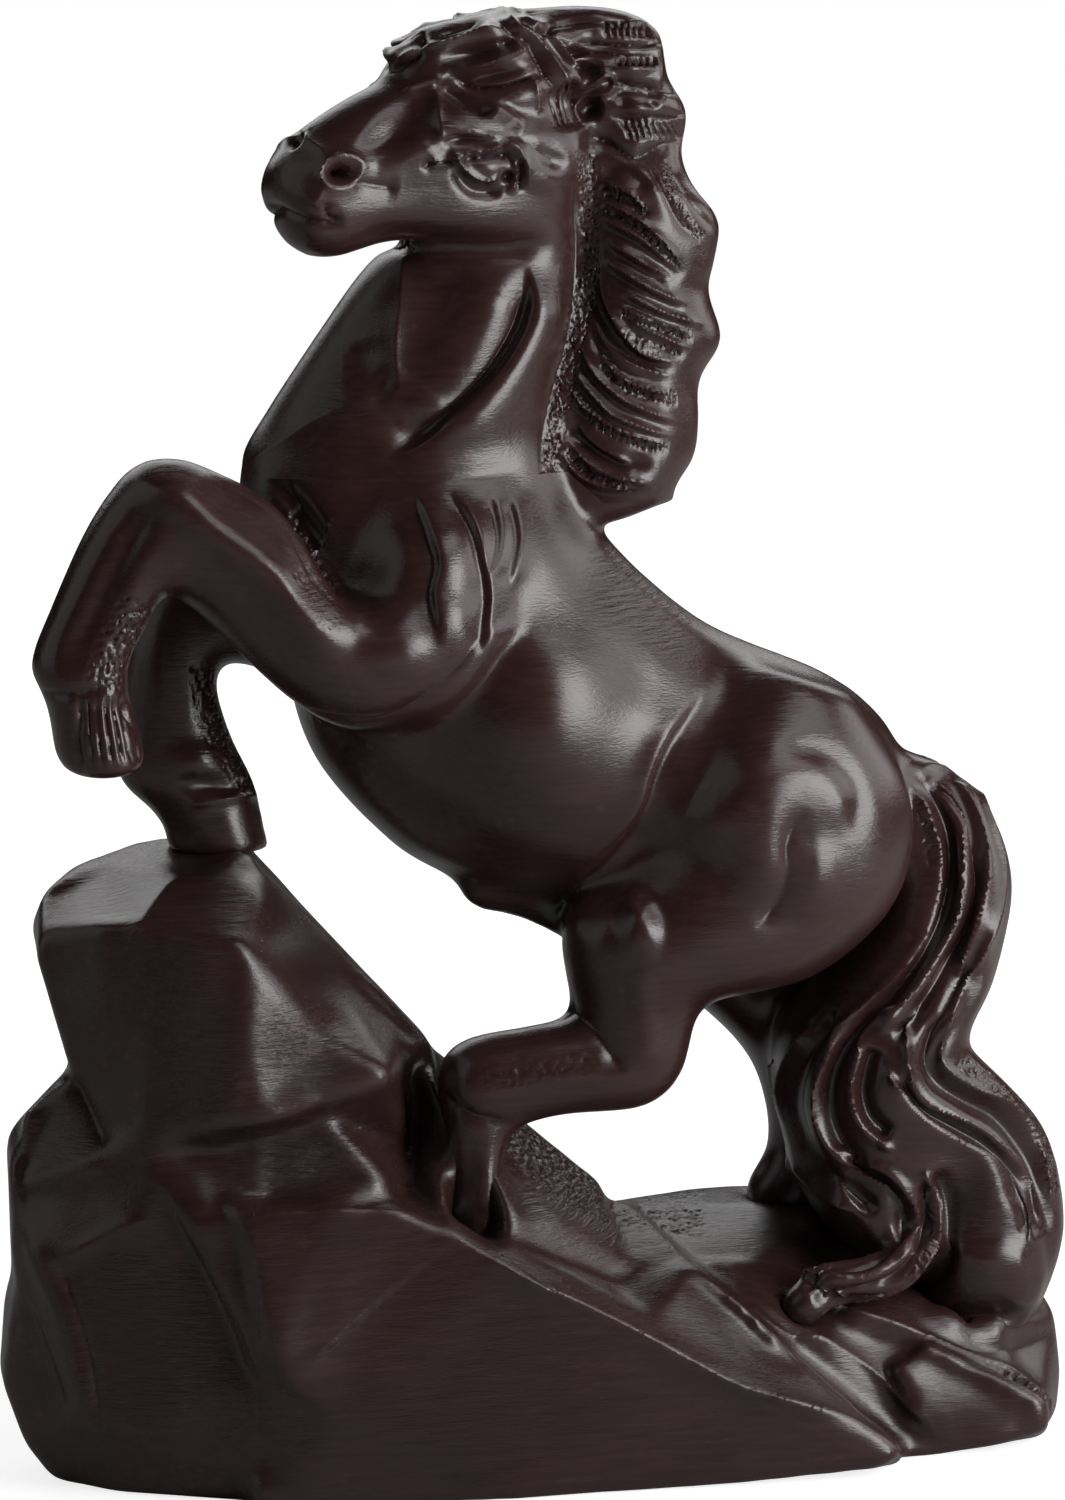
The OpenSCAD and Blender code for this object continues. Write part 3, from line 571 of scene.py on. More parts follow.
# The head is mirrored about its own turned middle.
HEAD_SWELLS = [
    Swell((470, 222), (130, 38), 2, 1.3),
    Swell((480, 114), (52, 22), 12, 0.6),
    Swell((462, 139), (28, 10), -4, -1.0),
    Swell((488, 172), (40, 28), 0, -0.7),
    Swell((341, 172), (38, 32), 0, 0.6),
    Swell((396, 130), (66, 30), -50, -1.2),
    Swell((545, 176), (30, 24), 0, 0.4),
]
HEAD_STROKES = [
    Stroke(1.6, 0.6, [(345, 168), (385, 158), (410, 152), (450, 146)], 2),
    Stroke(1.0, 0.6, [(436, 78), (438, 105), (440, 125), (444, 152)]),
    Stroke(0.9, 0.6, [(296, 118), (308, 140), (318, 148), (332, 158)]),
    Stroke(0.9, 0.5, [(324, 184), (318, 198), (311, 208)]),
    Stroke(0.8, -1.0, [(258, 202), (278, 210), (292, 217), (306, 222), (322, 225), (336, 226),
                       (350, 228)]),
    Stroke(0.6, -0.7, [(329, 200), (327, 212), (332, 220), (345, 220)]),
    Stroke(0.8, -0.5, [(352, 180), (368, 184), (400, 189)]),
    Stroke(1.6, -0.8, [(360, 236), (400, 238), (450, 246), (485, 251), (515, 249), (560, 238)], 2),
    Stroke(0.9, -1.5, [(432, 82), (452, 90), (466, 98), (480, 106), (498, 114)], 2),
    Stroke(0.6, 0.8, [(398, 95), (410, 89), (422, 84), (437, 80), (452, 83)]),
    Stroke(0.7, 0.5, [(482, 102), (494, 107), (508, 115), (526, 128)]),
    Stroke(0.7, 0.6, [(430, 127), (452, 128), (470, 131), (490, 136), (508, 135)]),
    Stroke(0.8, 0.5, [(536, 70), (538, 95), (536, 118)]),
    Stroke(1.3, -0.8, [(506, 124), (530, 142), (550, 158), (572, 170)], 2),
]
EYE_SWELLS = [Swell((484, 166), (32, 19), 8, 0.9), Swell((508, 177), (9, 9), 0, -1.0)]
EYE_STROKES = [
    Stroke(0.5, 0.9, [(444, 160), (462, 155), (485, 150), (497, 145), (508, 143), (516, 148), (522, 157),
                      (528, 170), (528, 194)]),
    Stroke(0.55, -1.1, [(456, 162), (478, 158), (495, 155), (508, 157), (514, 168)]),
    Stroke(0.45, 0.8, [(450, 150), (460, 163), (468, 171), (478, 177), (488, 179), (504, 174)]),
    Stroke(0.4, 0.7, [(513, 158), (516, 172), (514, 184), (506, 194)]),
    Stroke(0.5, -0.9, [(519, 156), (522, 174), (518, 194)]),
    Stroke(0.9, -0.8, [(454, 166), (466, 184), (480, 192), (504, 192)], 2),
    Stroke(0.4, 0.6, [(426, 161), (442, 160), (462, 157)]),
    Stroke(0.4, -0.9, [(420, 168), (430, 165), (442, 163), (460, 161)]),
]
NOSTRIL_HOLE = [Swell((341, 172), (22, 17), 0, -3.0), Swell((341, 173), (18, 13), 0, -3.6)]
FAR_NOSTRIL = [Swell((297, 138), (9, 18), 40, -1.4)]
NOSTRIL_RIM = [
    Stroke(0.35, 0.4, [(368, 174), (362, 164), (354, 157), (341, 155), (328, 160), (321, 172), (325, 184),
                       (334, 189), (350, 188)]),
]

FORELOCK_STROKES = [
    Stroke(0.9, -1.4, [(384, 76), (400, 64), (418, 54), (424, 34), (422, 20)]),
    Stroke(0.6, 1.3, [(382, 72), (400, 58), (418, 49), (440, 45), (460, 40), (480, 33), (497, 29),
                      (516, 30)]),
    Stroke(0.5, 1.0, [(440, 64), (456, 68), (480, 66), (498, 60), (520, 50), (538, 44)]),
    Stroke(0.8, -1.6, [(444, 70), (458, 79), (472, 87), (490, 90), (510, 88), (535, 78), (556, 66)]),
    Stroke(0.6, 1.1, [(488, 0), (506, 7), (530, 18), (550, 33), (565, 50), (575, 64), (578, 78),
                      (571, 100)]),
    Stroke(0.6, 1.0, [(490, 2), (504, 12), (520, 25), (535, 33), (548, 50), (560, 66), (568, 86),
                      (572, 106)]),
    Stroke(1.0, -0.8, [(505, 10), (527, 22), (546, 38), (562, 58), (572, 82)], 2),
    Stroke(0.9, -1.5, [(490, 14), (510, 28), (530, 42), (542, 58), (553, 78), (562, 106)]),
    Stroke(0.8, -1.3, [(508, 0), (535, 14), (556, 30), (572, 48), (582, 66), (584, 84)]),
    Stroke(0.7, -0.8, [(428, 40), (450, 34), (474, 24), (492, 18)]),
    Stroke(0.4, -0.6, [(436, 34), (456, 27), (480, 18)]),
]
FORELOCK_STRANDS = lines(
    0.45, -1.0, 1,
    [(553, 86), (557, 108), (565, 132)],
    [(560, 84), (564, 108), (572, 132)],
    [(567, 80), (571, 105), (579, 132)],
    [(574, 76), (578, 105), (586, 130)],
)
FORELOCK_SWELLS = [
    Swell((478, 50), (48, 15), -16, -1.8),
    Swell((496, 74), (46, 13), -12, -1.5),
    Swell((510, 42), (12, 10), 0, -1.0),
    Swell((408, 40), (22, 18), -30, -0.8),
    Swell((511, 98), (34, 16), 0, 0.6),
]
CREST_STROKES = [
    Stroke(0.9, -1.2, [(536, 20), (560, 19), (600, 18), (640, 18)]),
    Stroke(0.9, -1.4, [(572, 42), (595, 41), (620, 43), (668, 43)]),
    Stroke(0.9, -1.4, [(566, 55), (605, 51), (630, 55), (668, 56)]),
    Stroke(0.9, -1.4, [(600, 84), (615, 82), (630, 85), (652, 86), (680, 96)]),
    Stroke(0.5, 1.0, [(576, 94), (604, 75), (614, 82), (608, 92), (576, 98)]),
    Stroke(0.7, -0.8, [(614, 104), (635, 101), (664, 106)], 2),
    Stroke(0.8, -1.1, [(604, 114), (617, 118), (635, 121), (657, 117), (694, 114)]),
    Stroke(0.9, -1.2, [(606, 102), (616, 95), (635, 91), (668, 95)]),
    Stroke(1.0, 0.7, [(655, 30), (658, 60), (662, 90), (676, 104)]),
    Stroke(1.6, -2.2, [(578, 132), (600, 138), (620, 147), (640, 153), (657, 150), (694, 138)]),
]
CREST_HATCH = lines(
    0.35, -0.7, 1,
    *([(x, 20), (x + 2, 40)] for x in range(606, 650, 7)),
    *([(x, 57), (x + 3, 66)] for x in range(618, 656, 7)),
    *([(x, 118), (x + 6, 130), (x + 9, 142)] for x in range(622, 680, 7)),
)
CREST_SWELLS = [
    Swell((549, 28), (14, 12), 0, -1.8),
    Swell((580, 50), (16, 8), 0, -1.6),
    Swell((588, 70), (17, 13), 0, -2.2),
    Swell((592, 108), (14, 16), 0, -1.8),
    Swell((632, 68), (24, 12), 0, 0.6),
    Swell((640, 104), (34, 14), 4, 0.9),
]

FORELEG_STROKES = [
    Stroke(4.4, -1.1, [(190, 470), (244, 500), (280, 535), (310, 575), (340, 630)], 2),
    Stroke(2.6, 1.5, [(116, 474), (147, 486), (177, 500), (202, 519), (227, 540), (252, 557), (277, 577),
                      (297, 607), (318, 632), (350, 668)], 2),
    Stroke(3.5, -0.5, [(180, 545), (235, 590), (270, 632), (310, 668)], 2),
    Stroke(2.4, -1.1, [(160, 490), (150, 508), (131, 540), (110, 580), (93, 619), (75, 650),
                       (56, 686)], 2),
    Stroke(0.8, -0.8, [(34, 690), (64, 696), (112, 688)]),
    Stroke(0.8, -0.9, [(80, 688), (79, 720), (76, 745), (84, 784)]),
    Stroke(0.8, -0.7, [(120, 690), (130, 712), (140, 738), (142, 772)]),
]
FEATHER_STROKES = lines(
    0.45, -0.7, 1,
    [(88, 690), (88, 725), (94, 778)],
    [(97, 690), (98, 725), (104, 776)],
    [(106, 690), (109, 728), (115, 774)],
    [(114, 692), (119, 728), (126, 772)],
    [(122, 694), (128, 728), (135, 770)],
)
FORELEG_STIPPLE = [Stipple(3.0, 0.5, [(140, 600), (118, 640), (100, 690)])]
ARM_STIPPLE = [Stipple(2.4, 0.2, [(305, 566), (322, 596), (335, 630)])]
CHEST_STROKES = [Stroke(1.6, -1.2, [(262, 468), (300, 512), (324, 545), (344, 580), (360, 630)], 2)]
CREASE_STROKES = [
    Stroke(0.5, 0.3, [(258, 476), (272, 490), (293, 519), (310, 542), (327, 569), (352, 610)]),
]

FAR_LEG_SWELLS = [Swell((198, 760), (40, 26), 0, 0.8), Swell((214, 786), (46, 16), 4, -0.9)]
FAR_LEG_STROKES = [Stroke(0.6, 0.6, [(186, 806), (206, 802), (230, 799), (264, 794)])]
FAR_LEG_STIPPLE = [Stipple(1.9, 0.4, [(201, 660), (206, 710), (226, 752), (252, 790)])]

HIND_STROKES = [
    Stroke(1.6, -1.1, [(548, 996), (580, 1018), (603, 1042), (628, 1078)]),
    Stroke(2.0, 0.5, [(640, 960), (642, 1000), (648, 1040), (640, 1075)], 2),
    Stroke(1.0, -0.8, [(428, 1084), (458, 1108), (480, 1118), (515, 1124)]),
    Stroke(1.0, 0.6, [(455, 1120), (452, 1150), (451, 1185), (443, 1225)]),
    Stroke(1.6, -0.5, [(472, 1126), (470, 1180), (464, 1240)], 2),
]
HIND_STIPPLE = [Stipple(1.6, 0.2, [(480, 1082), (540, 1072), (600, 1058)])]

TAIL_SWELLS = [Swell((985, 1332), (95, 38), 0, -4.0), Swell((958, 1200), (34, 54), 0, -1.0)]
TAIL_RIDGES = lines(
    0.65, 1.1, 1,
    [(906, 778), (920, 800), (930, 826), (937, 852), (935, 892), (924, 931), (902, 966), (872, 997),
     (841, 1027), (824, 1062), (815, 1090), (817, 1123), (833, 1153), (859, 1172), (892, 1194),
     (908, 1222)],
    [(930, 778), (948, 800), (960, 827), (964, 870), (959, 914), (941, 949), (920, 983), (898, 1010),
     (878, 1036)],
    [(946, 778), (968, 800), (982, 835), (987, 875), (982, 910), (968, 950), (946, 992), (926, 1030)],
    [(915, 754), (967, 784), (989, 826), (1000, 866), (996, 914), (980, 957), (959, 997), (943, 1031),
     (940, 1053), (948, 1070), (976, 1088), (1007, 1101), (1028, 1127), (1041, 1157), (1054, 1214)],
    [(918, 1000), (908, 1030), (906, 1060), (913, 1082), (926, 1101), (954, 1114), (985, 1131),
     (1007, 1153), (1024, 1179), (1040, 1232)],
    [(884, 1062), (898, 1092), (920, 1118), (954, 1140), (985, 1157), (1007, 1179), (1020, 1205),
     (1030, 1250)],
    [(898, 1006), (868, 1034), (855, 1065), (850, 1090), (856, 1118), (872, 1138), (898, 1152)],
    [(812, 1024), (785, 1068), (780, 1110), (791, 1153), (811, 1183), (856, 1214)],
    [(828, 1148), (872, 1162), (898, 1179), (914, 1205), (914, 1231), (898, 1257), (872, 1275),
     (837, 1279), (790, 1270)],
    [(922, 1168), (935, 1200), (936, 1236), (922, 1264), (900, 1285), (865, 1294), (808, 1284)],
)
TAIL_GROOVES = lines(
    1.3, -1.5, 2,
    [(910, 766), (934, 796), (947, 826), (951, 858), (948, 892), (934, 936), (912, 970), (886, 1002),
     (858, 1032), (838, 1062), (830, 1094), (834, 1126), (850, 1154), (880, 1176)],
    [(924, 766), (956, 796), (972, 830), (976, 872), (971, 912), (955, 950), (934, 988), (912, 1020),
     (892, 1046)],
    [(974, 956), (954, 994), (936, 1030), (930, 1060), (940, 1082), (966, 1100), (996, 1116),
     (1018, 1142), (1034, 1176), (1046, 1236)],
    [(898, 1076), (920, 1108), (952, 1127), (984, 1144), (1008, 1167), (1022, 1194), (1034, 1242)],
    [(842, 1008), (812, 1044), (797, 1074), (792, 1108), (802, 1142), (820, 1168), (852, 1192),
     (880, 1216)],
    [(874, 1046), (866, 1070), (863, 1096), (870, 1118), (890, 1138)],
    [(928, 1176), (925, 1210), (920, 1246), (904, 1270), (878, 1284), (840, 1288), (796, 1278)],
    [(838, 1162), (866, 1174), (890, 1190), (903, 1210), (902, 1234), (886, 1256), (856, 1268),
     (800, 1264)],
    [(936, 1166), (948, 1200), (950, 1240), (936, 1276), (906, 1300), (860, 1305), (808, 1292)],
)
TAIL_STIPPLE = [
    Stipple(1.2, 0.4, [(955, 1060), (990, 1080), (1025, 1105), (1045, 1145), (1054, 1195)]),
    Stipple(0.9, 0.3, [(915, 795), (928, 830), (932, 870)]),
    Stipple(0.7, 0.35, [(925, 1185), (930, 1215), (928, 1250), (908, 1280)]),
]


# Depths across the figure, in mm, to which marks keep: the tail's strands stay off the far hind leg, the
# raised foreleg's off the far one, and the chest's crease in its middle
TAIL_DEPTHS = (-FAR, 8)
RAISED_LEG_DEPTHS = (-FAR, -8)
CHEST_DEPTHS = (-12, 12)
# Share of its path over which a mark fades at each end
STRAND_TAPER = 0.08
PAD_TAPER = 0.2

# Where the blank is eased with more passes: shoulder, the fork of the tail, the mane's lower end
EASED = [
    Ease((485, 520), (130, 100), 0, 50),
    Ease((962, 1085), (62, 56), 0, 60),
    Ease((686, 500), (44, 36), 0, 120),
]
TAIL_EASED = [Ease((990, 1315), (75, 40), 0, 60)]
ROCK_EASED = [
    Ease((150, 1020), (76, 116), 0, 60),
    Ease((312, 950), (95, 70), 45, 80),
    Ease((490, 1385), (210, 95), 20, 60),
]
# Depths of the tail's front, which make one sheet of its strands: pixel across and down, millimetres
TAIL_RELIEF = [
    (890, 950, -5), (935, 945, -4.5), (985, 935, -5.6), (845, 1010, -4), (900, 1000, -2.6),
    (950, 1000, -3.2), (972, 1000, -6), (812, 1060, -4.5), (860, 1050, -2.2), (905, 1050, -2),
    (940, 1050, -3.5), (962, 1050, -8), (812, 1110, -5.5), (850, 1105, -3.2), (900, 1100, -2.4),
    (945, 1095, -4.2), (985, 1085, -8.5), (1005, 1105, -11), (838, 1160, -6), (880, 1150, -4.2),
    (930, 1140, -4.5), (980, 1140, -7.5), (1015, 1150, -10), (1040, 1165, -13.5), (885, 1195, -5.5),
    (925, 1190, -6), (960, 1200, -8.5), (1000, 1200, -8.5), (1030, 1205, -10.5), (1052, 1215, -14.5),
    (960, 1250, -9), (1000, 1250, -9), (1035, 1245, -11.5), (848, 1185, -7), (878, 1228, -7.2),
]
# What fills the steps around the shoulder before the blank is rounded
SHOULDER_FILL = [Swell((536, 548), (54, 96), 0, 3.0), Swell((446, 492), (90, 30), 0, 2.0)]


def carve_head(clay):
    """Lines of the neck, the head, the forelock, the crest and the mane."""
    clay.swell(HEAD_SWELLS, HEAD)
    clay.swell(SHOULDER_SWELLS)
    clay.step(NECK_STEPS + SHOULDER_STEPS, taper=PAD_TAPER)
    clay.settle()
    clay.swell(FORELOCK_SWELLS + NOSTRIL_HOLE + EYE_SWELLS, HEAD)
    clay.swell(FAR_NOSTRIL, NEAR)
    clay.swell(CREST_SWELLS)
    clay.stroke(NECK_STROKES + SHOULDER_STROKES)
    clay.stroke(HEAD_STROKES + NOSTRIL_RIM + FORELOCK_STROKES, HEAD)
    clay.stroke(MANE_STROKES + CREST_STROKES)
    clay.settle()
    clay.stroke(EYE_STROKES + FORELOCK_STRANDS, HEAD)
    clay.stroke(MANE_RIDGES + MANE_GROOVES + CREST_HATCH)
    clay.settle()
    clay.stipple(MANE_STIPPLE)
    clay.settle()


def carve_body(clay):
    """Pads and creases of the body and the legs, and the root of the tail."""
    clay.swell(SHOULDER_SWELLS + FLANK_SWELLS + HAUNCH_SWELLS)
    clay.swell(FAR_LEG_SWELLS, NEAR)
    clay.step(FLANK_STEPS)
    clay.step(NECK_STEPS + SHOULDER_STEPS, taper=PAD_TAPER)
    clay.stroke(CHEST_STROKES, BOTH, CHEST_DEPTHS, True)
    clay.settle()
    clay.stroke(NECK_STROKES + SHOULDER_STROKES + HAUNCH_STROKES)
    clay.stroke(TAIL_GROOVES, BOTH, TAIL_DEPTHS, taper=STRAND_TAPER)
    clay.stroke(FORELEG_STROKES, NEAR, RAISED_LEG_DEPTHS)
    clay.stroke(FAR_LEG_STROKES + HIND_STROKES + CREASE_STROKES, NEAR)
    clay.settle()
    clay.stroke(TAIL_RIDGES, BOTH, TAIL_DEPTHS, taper=STRAND_TAPER)
    clay.stroke(FEATHER_STROKES, NEAR, RAISED_LEG_DEPTHS)
    clay.stipple(FORELEG_STIPPLE + ARM_STIPPLE + FAR_LEG_STIPPLE + HIND_STIPPLE, NEAR)
    clay.settle()


def carve_tail(clay):
    """Strands of the tail and its curl."""
    clay.swell(TAIL_SWELLS, NEAR)
    clay.settle()
    clay.ease(TAIL_EASED, NEAR)
    clay.stroke(TAIL_GROOVES, taper=STRAND_TAPER)
    clay.settle()
    clay.stroke(TAIL_RIDGES, taper=STRAND_TAPER)
    clay.settle()
    clay.stipple(TAIL_STIPPLE)
    clay.settle()


# Depths of the rocks' front: pixel across and down, and millimetres from the aim towards the camera
ROCK_RELIEF = [
    (45, 890, 9), (110, 860, 4), (46, 932, 20), (100, 928, 24), (135, 927, 25), (150, 910, 22),
    (172, 886, 17), (192, 874, 15), (240, 878, 14), (214, 906, 20), (205, 942, 27), (245, 946, 27),
    (52, 1000, 19), (76, 1083, 18), (100, 1030, 23), (102, 1142, 21), (140, 1030, 25), (200, 1030, 27),
    (246, 1040, 28), (258, 1112, 27), (140, 1138, 24), (172, 1134, 25), (215, 1128, 27), (262, 1124, 27),
    (282, 985, 25), (320, 1036, 22), (392, 1074, 22), (324, 1102, 24), (262, 872, 8), (300, 922, 5),
    (350, 980, 3), (400, 1028, 2), (438, 1052, 0), (262, 905, 18), (300, 950, 16), (350, 1008, 12),
    (404, 1052, 7), (204, 1150, 22), (264, 1138, 21), (326, 1115, 20), (386, 1092, 20), (384, 1180, 20),
    (320, 1180, 20), (264, 1203, 21), (394, 1204, 19), (234, 1190, 22), (408, 1070, 3), (412, 1110, 3),
    (410, 1150, 4), (404, 1186, 9), (438, 1080, 8), (432, 1150, 9), (246, 1214, 25), (264, 1215, 25),
    (330, 1214, 24), (404, 1212, 22), (155, 1160, 24), (185, 1190, 24), (215, 1220, 25), (240, 1265, 25),
    (250, 1310, 25), (265, 1360, 25), (290, 1388, 24), (340, 1412, 23), (150, 1200, 24), (175, 1240, 24),
    (205, 1290, 24), (235, 1340, 24), (262, 1392, 24), (110, 1242, 22), (76, 1264, 20), (86, 1320, 20),
    (98, 1376, 20), (102, 1438, 19), (150, 1330, 22), (180, 1400, 22), (206, 1449, 21), (150, 1444, 20),
    (40, 1120, 15), (90, 1126, 19), (60, 1205, 19), (112, 1196, 22), (16, 1185, 15), (70, 1170, 20),
    (105, 1160, 22), (30, 1252, 19), (66, 1252, 21), (115, 1226, 23), (450, 1232, 21), (500, 1265, 20),
    (570, 1300, 18), (640, 1334, 16), (700, 1367, 14), (800, 1405, 11), (905, 1452, 7), (300, 1488, 22),
    (528, 1490, 17), (700, 1490, 12), (850, 1488, 8),
]
# Depths of the right rock's front, set after the others
RIGHT_RELIEF = [
    (890, 1368, -2), (925, 1342, -4), (990, 1372, -5), (1030, 1394, -6), (1046, 1402, -7),
    (1050, 1430, -7), (1000, 1444, -5), (950, 1450, -4), (915, 1415, -2), (970, 1410, -4),
]
# What fills the right rock up to the tail
ROCK_SWELLS = [Swell((985, 1320), (75, 34), 0, 4.0)]
ROCK_STROKES = [
    Stroke(1.2, 0.4, [(60, 928), (90, 928), (135, 927), (150, 910), (170, 886), (204, 862)]),
    Stroke(1.6, 0.4, [(120, 924), (165, 934), (200, 942), (262, 946)], 2),
    Stroke(0.8, 0.6, [(240, 1215), (330, 1213), (420, 1211)]),
    Stroke(1.6, -1.4, [(66, 1070), (78, 1095), (90, 1120), (106, 1152)]),
    Stroke(0.8, 0.4, [(150, 1160), (174, 1203), (198, 1247), (218, 1286), (238, 1330), (254, 1372),
                      (282, 1410)]),
    Stroke(3.0, 0.8, [(12, 1206), (30, 1255), (55, 1290), (75, 1335), (87, 1380), (97, 1450)], 2),
    Stroke(2.4, -1.2, [(14, 1285), (35, 1340), (50, 1385), (64, 1430)], 2),
    Stroke(0.9, 0.4, [(24, 1285), (45, 1340), (60, 1380), (76, 1425)]),
    Stroke(1.2, -0.7, [(52, 1240), (70, 1290), (84, 1330), (96, 1380), (103, 1455)]),
    Stroke(1.5, 0.5, [(6, 1190), (70, 1170), (112, 1156)], 2),
    Stroke(1.2, 0.5, [(40, 1268), (70, 1255), (115, 1230), (160, 1218)], 2),
    Stroke(1.2, -0.5, [(88, 1438), (150, 1444), (230, 1456)], 2),
    Stroke(0.9, 1.0, [(440, 1216), (451, 1230), (475, 1250), (500, 1265), (535, 1285), (570, 1300),
                      (635, 1332), (700, 1367), (740, 1387), (800, 1405), (835, 1415), (860, 1425),
                      (916, 1460)]),
    Stroke(0.8, 0.8, [(730, 1278), (750, 1305), (770, 1325), (790, 1337), (817, 1338), (840, 1350),
                      (870, 1370), (900, 1397), (925, 1420), (954, 1452)]),
    Stroke(2.2, -0.7, [(728, 1300), (765, 1345), (815, 1362), (865, 1402), (910, 1448)], 2),
    Stroke(0.9, 1.0, [(815, 1300), (860, 1314), (900, 1327), (930, 1340), (970, 1357), (1000, 1370),
                      (1048, 1397)]),
    Stroke(2.2, -0.6, [(830, 1325), (900, 1348), (960, 1374), (1020, 1402)], 2),
    Stroke(1.8, 0.7, [(1000, 1280), (998, 1320), (1003, 1365), (1036, 1400), (1036, 1440)], 2),
    Stroke(1.6, -0.8, [(920, 1280), (950, 1290), (980, 1293), (1005, 1286), (1050, 1270)]),
]
# The stairs left of the front slab: each drops to the left
ROCK_STEPS = [
    Step(1.2, 1.1, 14.0, [(205, 1180), (220, 1200), (238, 1230), (250, 1266), (258, 1310), (272, 1360),
                          (292, 1392), (350, 1420)]),
    Step(1.0, 0.9, 9.0, [(152, 1166), (174, 1205), (198, 1249), (218, 1288), (238, 1332), (254, 1374),
                         (290, 1420)]),
]
ROCK_STIPPLE = [Stipple(5.0, 0.3, [(506, 1120), (530, 1146), (570, 1176), (640, 1200), (712, 1210)])]
# Where the gouge's chatter was left in the wood
TOOLED = [
    Patch((300, 1050), (86, 62), 30, 1.0),
    Patch((300, 1165), (120, 56), -10, 1.0),
    Patch((140, 1345), (96, 120), 10, 0.9),
    Patch((600, 1220), (140, 60), 12, 0.9),
    Patch((215, 910), (60, 36), 0, 0.7),
    Patch((210, 1020), (50, 110), 0, 0.5),
    Patch((60, 1140), (60, 60), 0, 0.5),
    Patch((322, 598), (34, 46), 40, 0.8),
    Patch((640, 600), (90, 60), 40, 0.5),
    Patch((230, 720), (40, 90), 0, 0.8),
    Patch((345, 400), (60, 70), 20, 0.4),
    Patch((475, 108), (40, 20), 10, 0.6),
    Patch((460, 215), (80, 30), 0, 0.3),
    Patch((770, 690), (70, 30), 20, 0.5),
    Patch((970, 1190), (50, 70), 0, 0.7),
]


def carve_rocks(clay):
    """Stairs, edges and rough patches of the rocks."""
    clay.swell(ROCK_SWELLS, NEAR)
    clay.step(ROCK_STEPS, NEAR)
    clay.settle()
    clay.stroke(ROCK_STROKES, NEAR)
    clay.settle()
    clay.stipple(ROCK_STIPPLE, NEAR)
    clay.settle()


# Flat glue faces of the horse, in millimetres: heights in the neck and the head
NECK_FOOT = 137.0
NECK_TOP = 166.5
CREST_FOOT = 181.5
FORELOCK_FOOT = 189.5
# Heights and places (x) in the hindquarters, and the depth at which the hind legs part
CROUP = 125
STIFLE = 64
TAIL_FACE = 53
NEAR_HOCK = 28
FAR_HOCK = 49.5
HIND_PARTING = 4.5
# A height above the whole figure
TOP = 240

# Corners of glue faces in the side view (x, z)
MANE_FOOT = (2.5, NECK_FOOT)
MANE_HEAD = (6.0, CREST_FOOT)
WITHERS = (12.5, 128.0)
MANE_RISE = (NECK_TOP - NECK_FOOT) / (CREST_FOOT - NECK_FOOT)
MANE_FACE = (MANE_FOOT[0] + (MANE_HEAD[0] - MANE_FOOT[0]) * MANE_RISE, NECK_TOP)
ELBOW = (-28.0, 100.0)
HAUNCH_OUTLINE = [
    (25, CROUP), (19, 104), (1, 78), (-30, 68), (-30, STIFLE), (TAIL_FACE, STIFLE), (TAIL_FACE, CROUP),
]


def oblong(x0, x1, z0, z1):
    """The outline of a rectangle in the side view."""
    return [(x0, z0), (x1, z0), (x1, z1), (x0, z1)]


# For each piece, the blocks (outline, depths) that hold it, and those that other pieces take first
NEAR_FORE_HOOF = ([(-FAR, 92), (-50, 92), (-50, 109), (-FAR, 110)], (-FAR, -7))
FAR_FORE_HOOF = ([(-FAR, 60), (-34.5, 60), (-34.5, 90.5), (-FAR, 91.5)], (-2, FAR))
NEAR_HIND_HOOF = (oblong(-30, 0, 0, 46), (-FAR, HIND_PARTING))
FAR_HIND_HOOF = (oblong(0, FAR_HOCK, 0, 35), (HIND_PARTING, FAR))
NEAR_FORELEG = [
    ([(-FAR, 150), (-41, 150), (-41, NECK_FOOT), ELBOW, (-28, 92), (-FAR, 92)], (-FAR, -7)),
]
FAR_FORELEG = [
    ([(-FAR, NECK_FOOT), (-38, NECK_FOOT), ELBOW, (-28, 98), (-FAR, 98)], (2, FAR)),
    (oblong(-FAR, -34.5, 60, 104), (-2, FAR)),
]
NEAR_HIND_LEG = [
    (HAUNCH_OUTLINE, (-FAR, 0)),
    (oblong(-30, NEAR_HOCK, 0, STIFLE), (-FAR, HIND_PARTING)),
]
FAR_HIND_LEG = [
    (HAUNCH_OUTLINE, (0, FAR)),
    (oblong(0, FAR_HOCK, 0, STIFLE), (HIND_PARTING, FAR)),
]
TAIL = [
    (oblong(TAIL_FACE, FAR, STIFLE, CROUP), ALL_DEPTHS),
    (oblong(NEAR_HOCK, FAR, 0, STIFLE), (-FAR, HIND_PARTING)),
    (oblong(FAR_HOCK, FAR, 0, STIFLE), (HIND_PARTING, FAR)),
]
NECK = ([(-41, NECK_FOOT), MANE_FOOT, MANE_FACE, (-41, NECK_TOP)], ALL_DEPTHS)
FACE = (
    [(-FAR, NECK_TOP), MANE_FACE, MANE_HEAD, (MANE_HEAD[0], FORELOCK_FOOT), (-FAR, FORELOCK_FOOT)],
    ALL_DEPTHS)
FORELOCK = (oblong(-FAR, MANE_HEAD[0], FORELOCK_FOOT, TOP), ALL_DEPTHS)
CREST = (oblong(MANE_HEAD[0], FAR, CREST_FOOT, TOP), ALL_DEPTHS)
MANE = ([MANE_FOOT, WITHERS, (FAR, WITHERS[1]), (FAR, CREST_FOOT), MANE_HEAD], ALL_DEPTHS)
ABOVE = (
    [(-FAR, NECK_FOOT), MANE_FOOT, WITHERS, (FAR, WITHERS[1]), (FAR, TOP), (-FAR, TOP)],
    ALL_DEPTHS)
LIMBS = [NEAR_FORE_HOOF] + NEAR_FORELEG + FAR_FORELEG + NEAR_HIND_LEG + FAR_HIND_LEG + TAIL
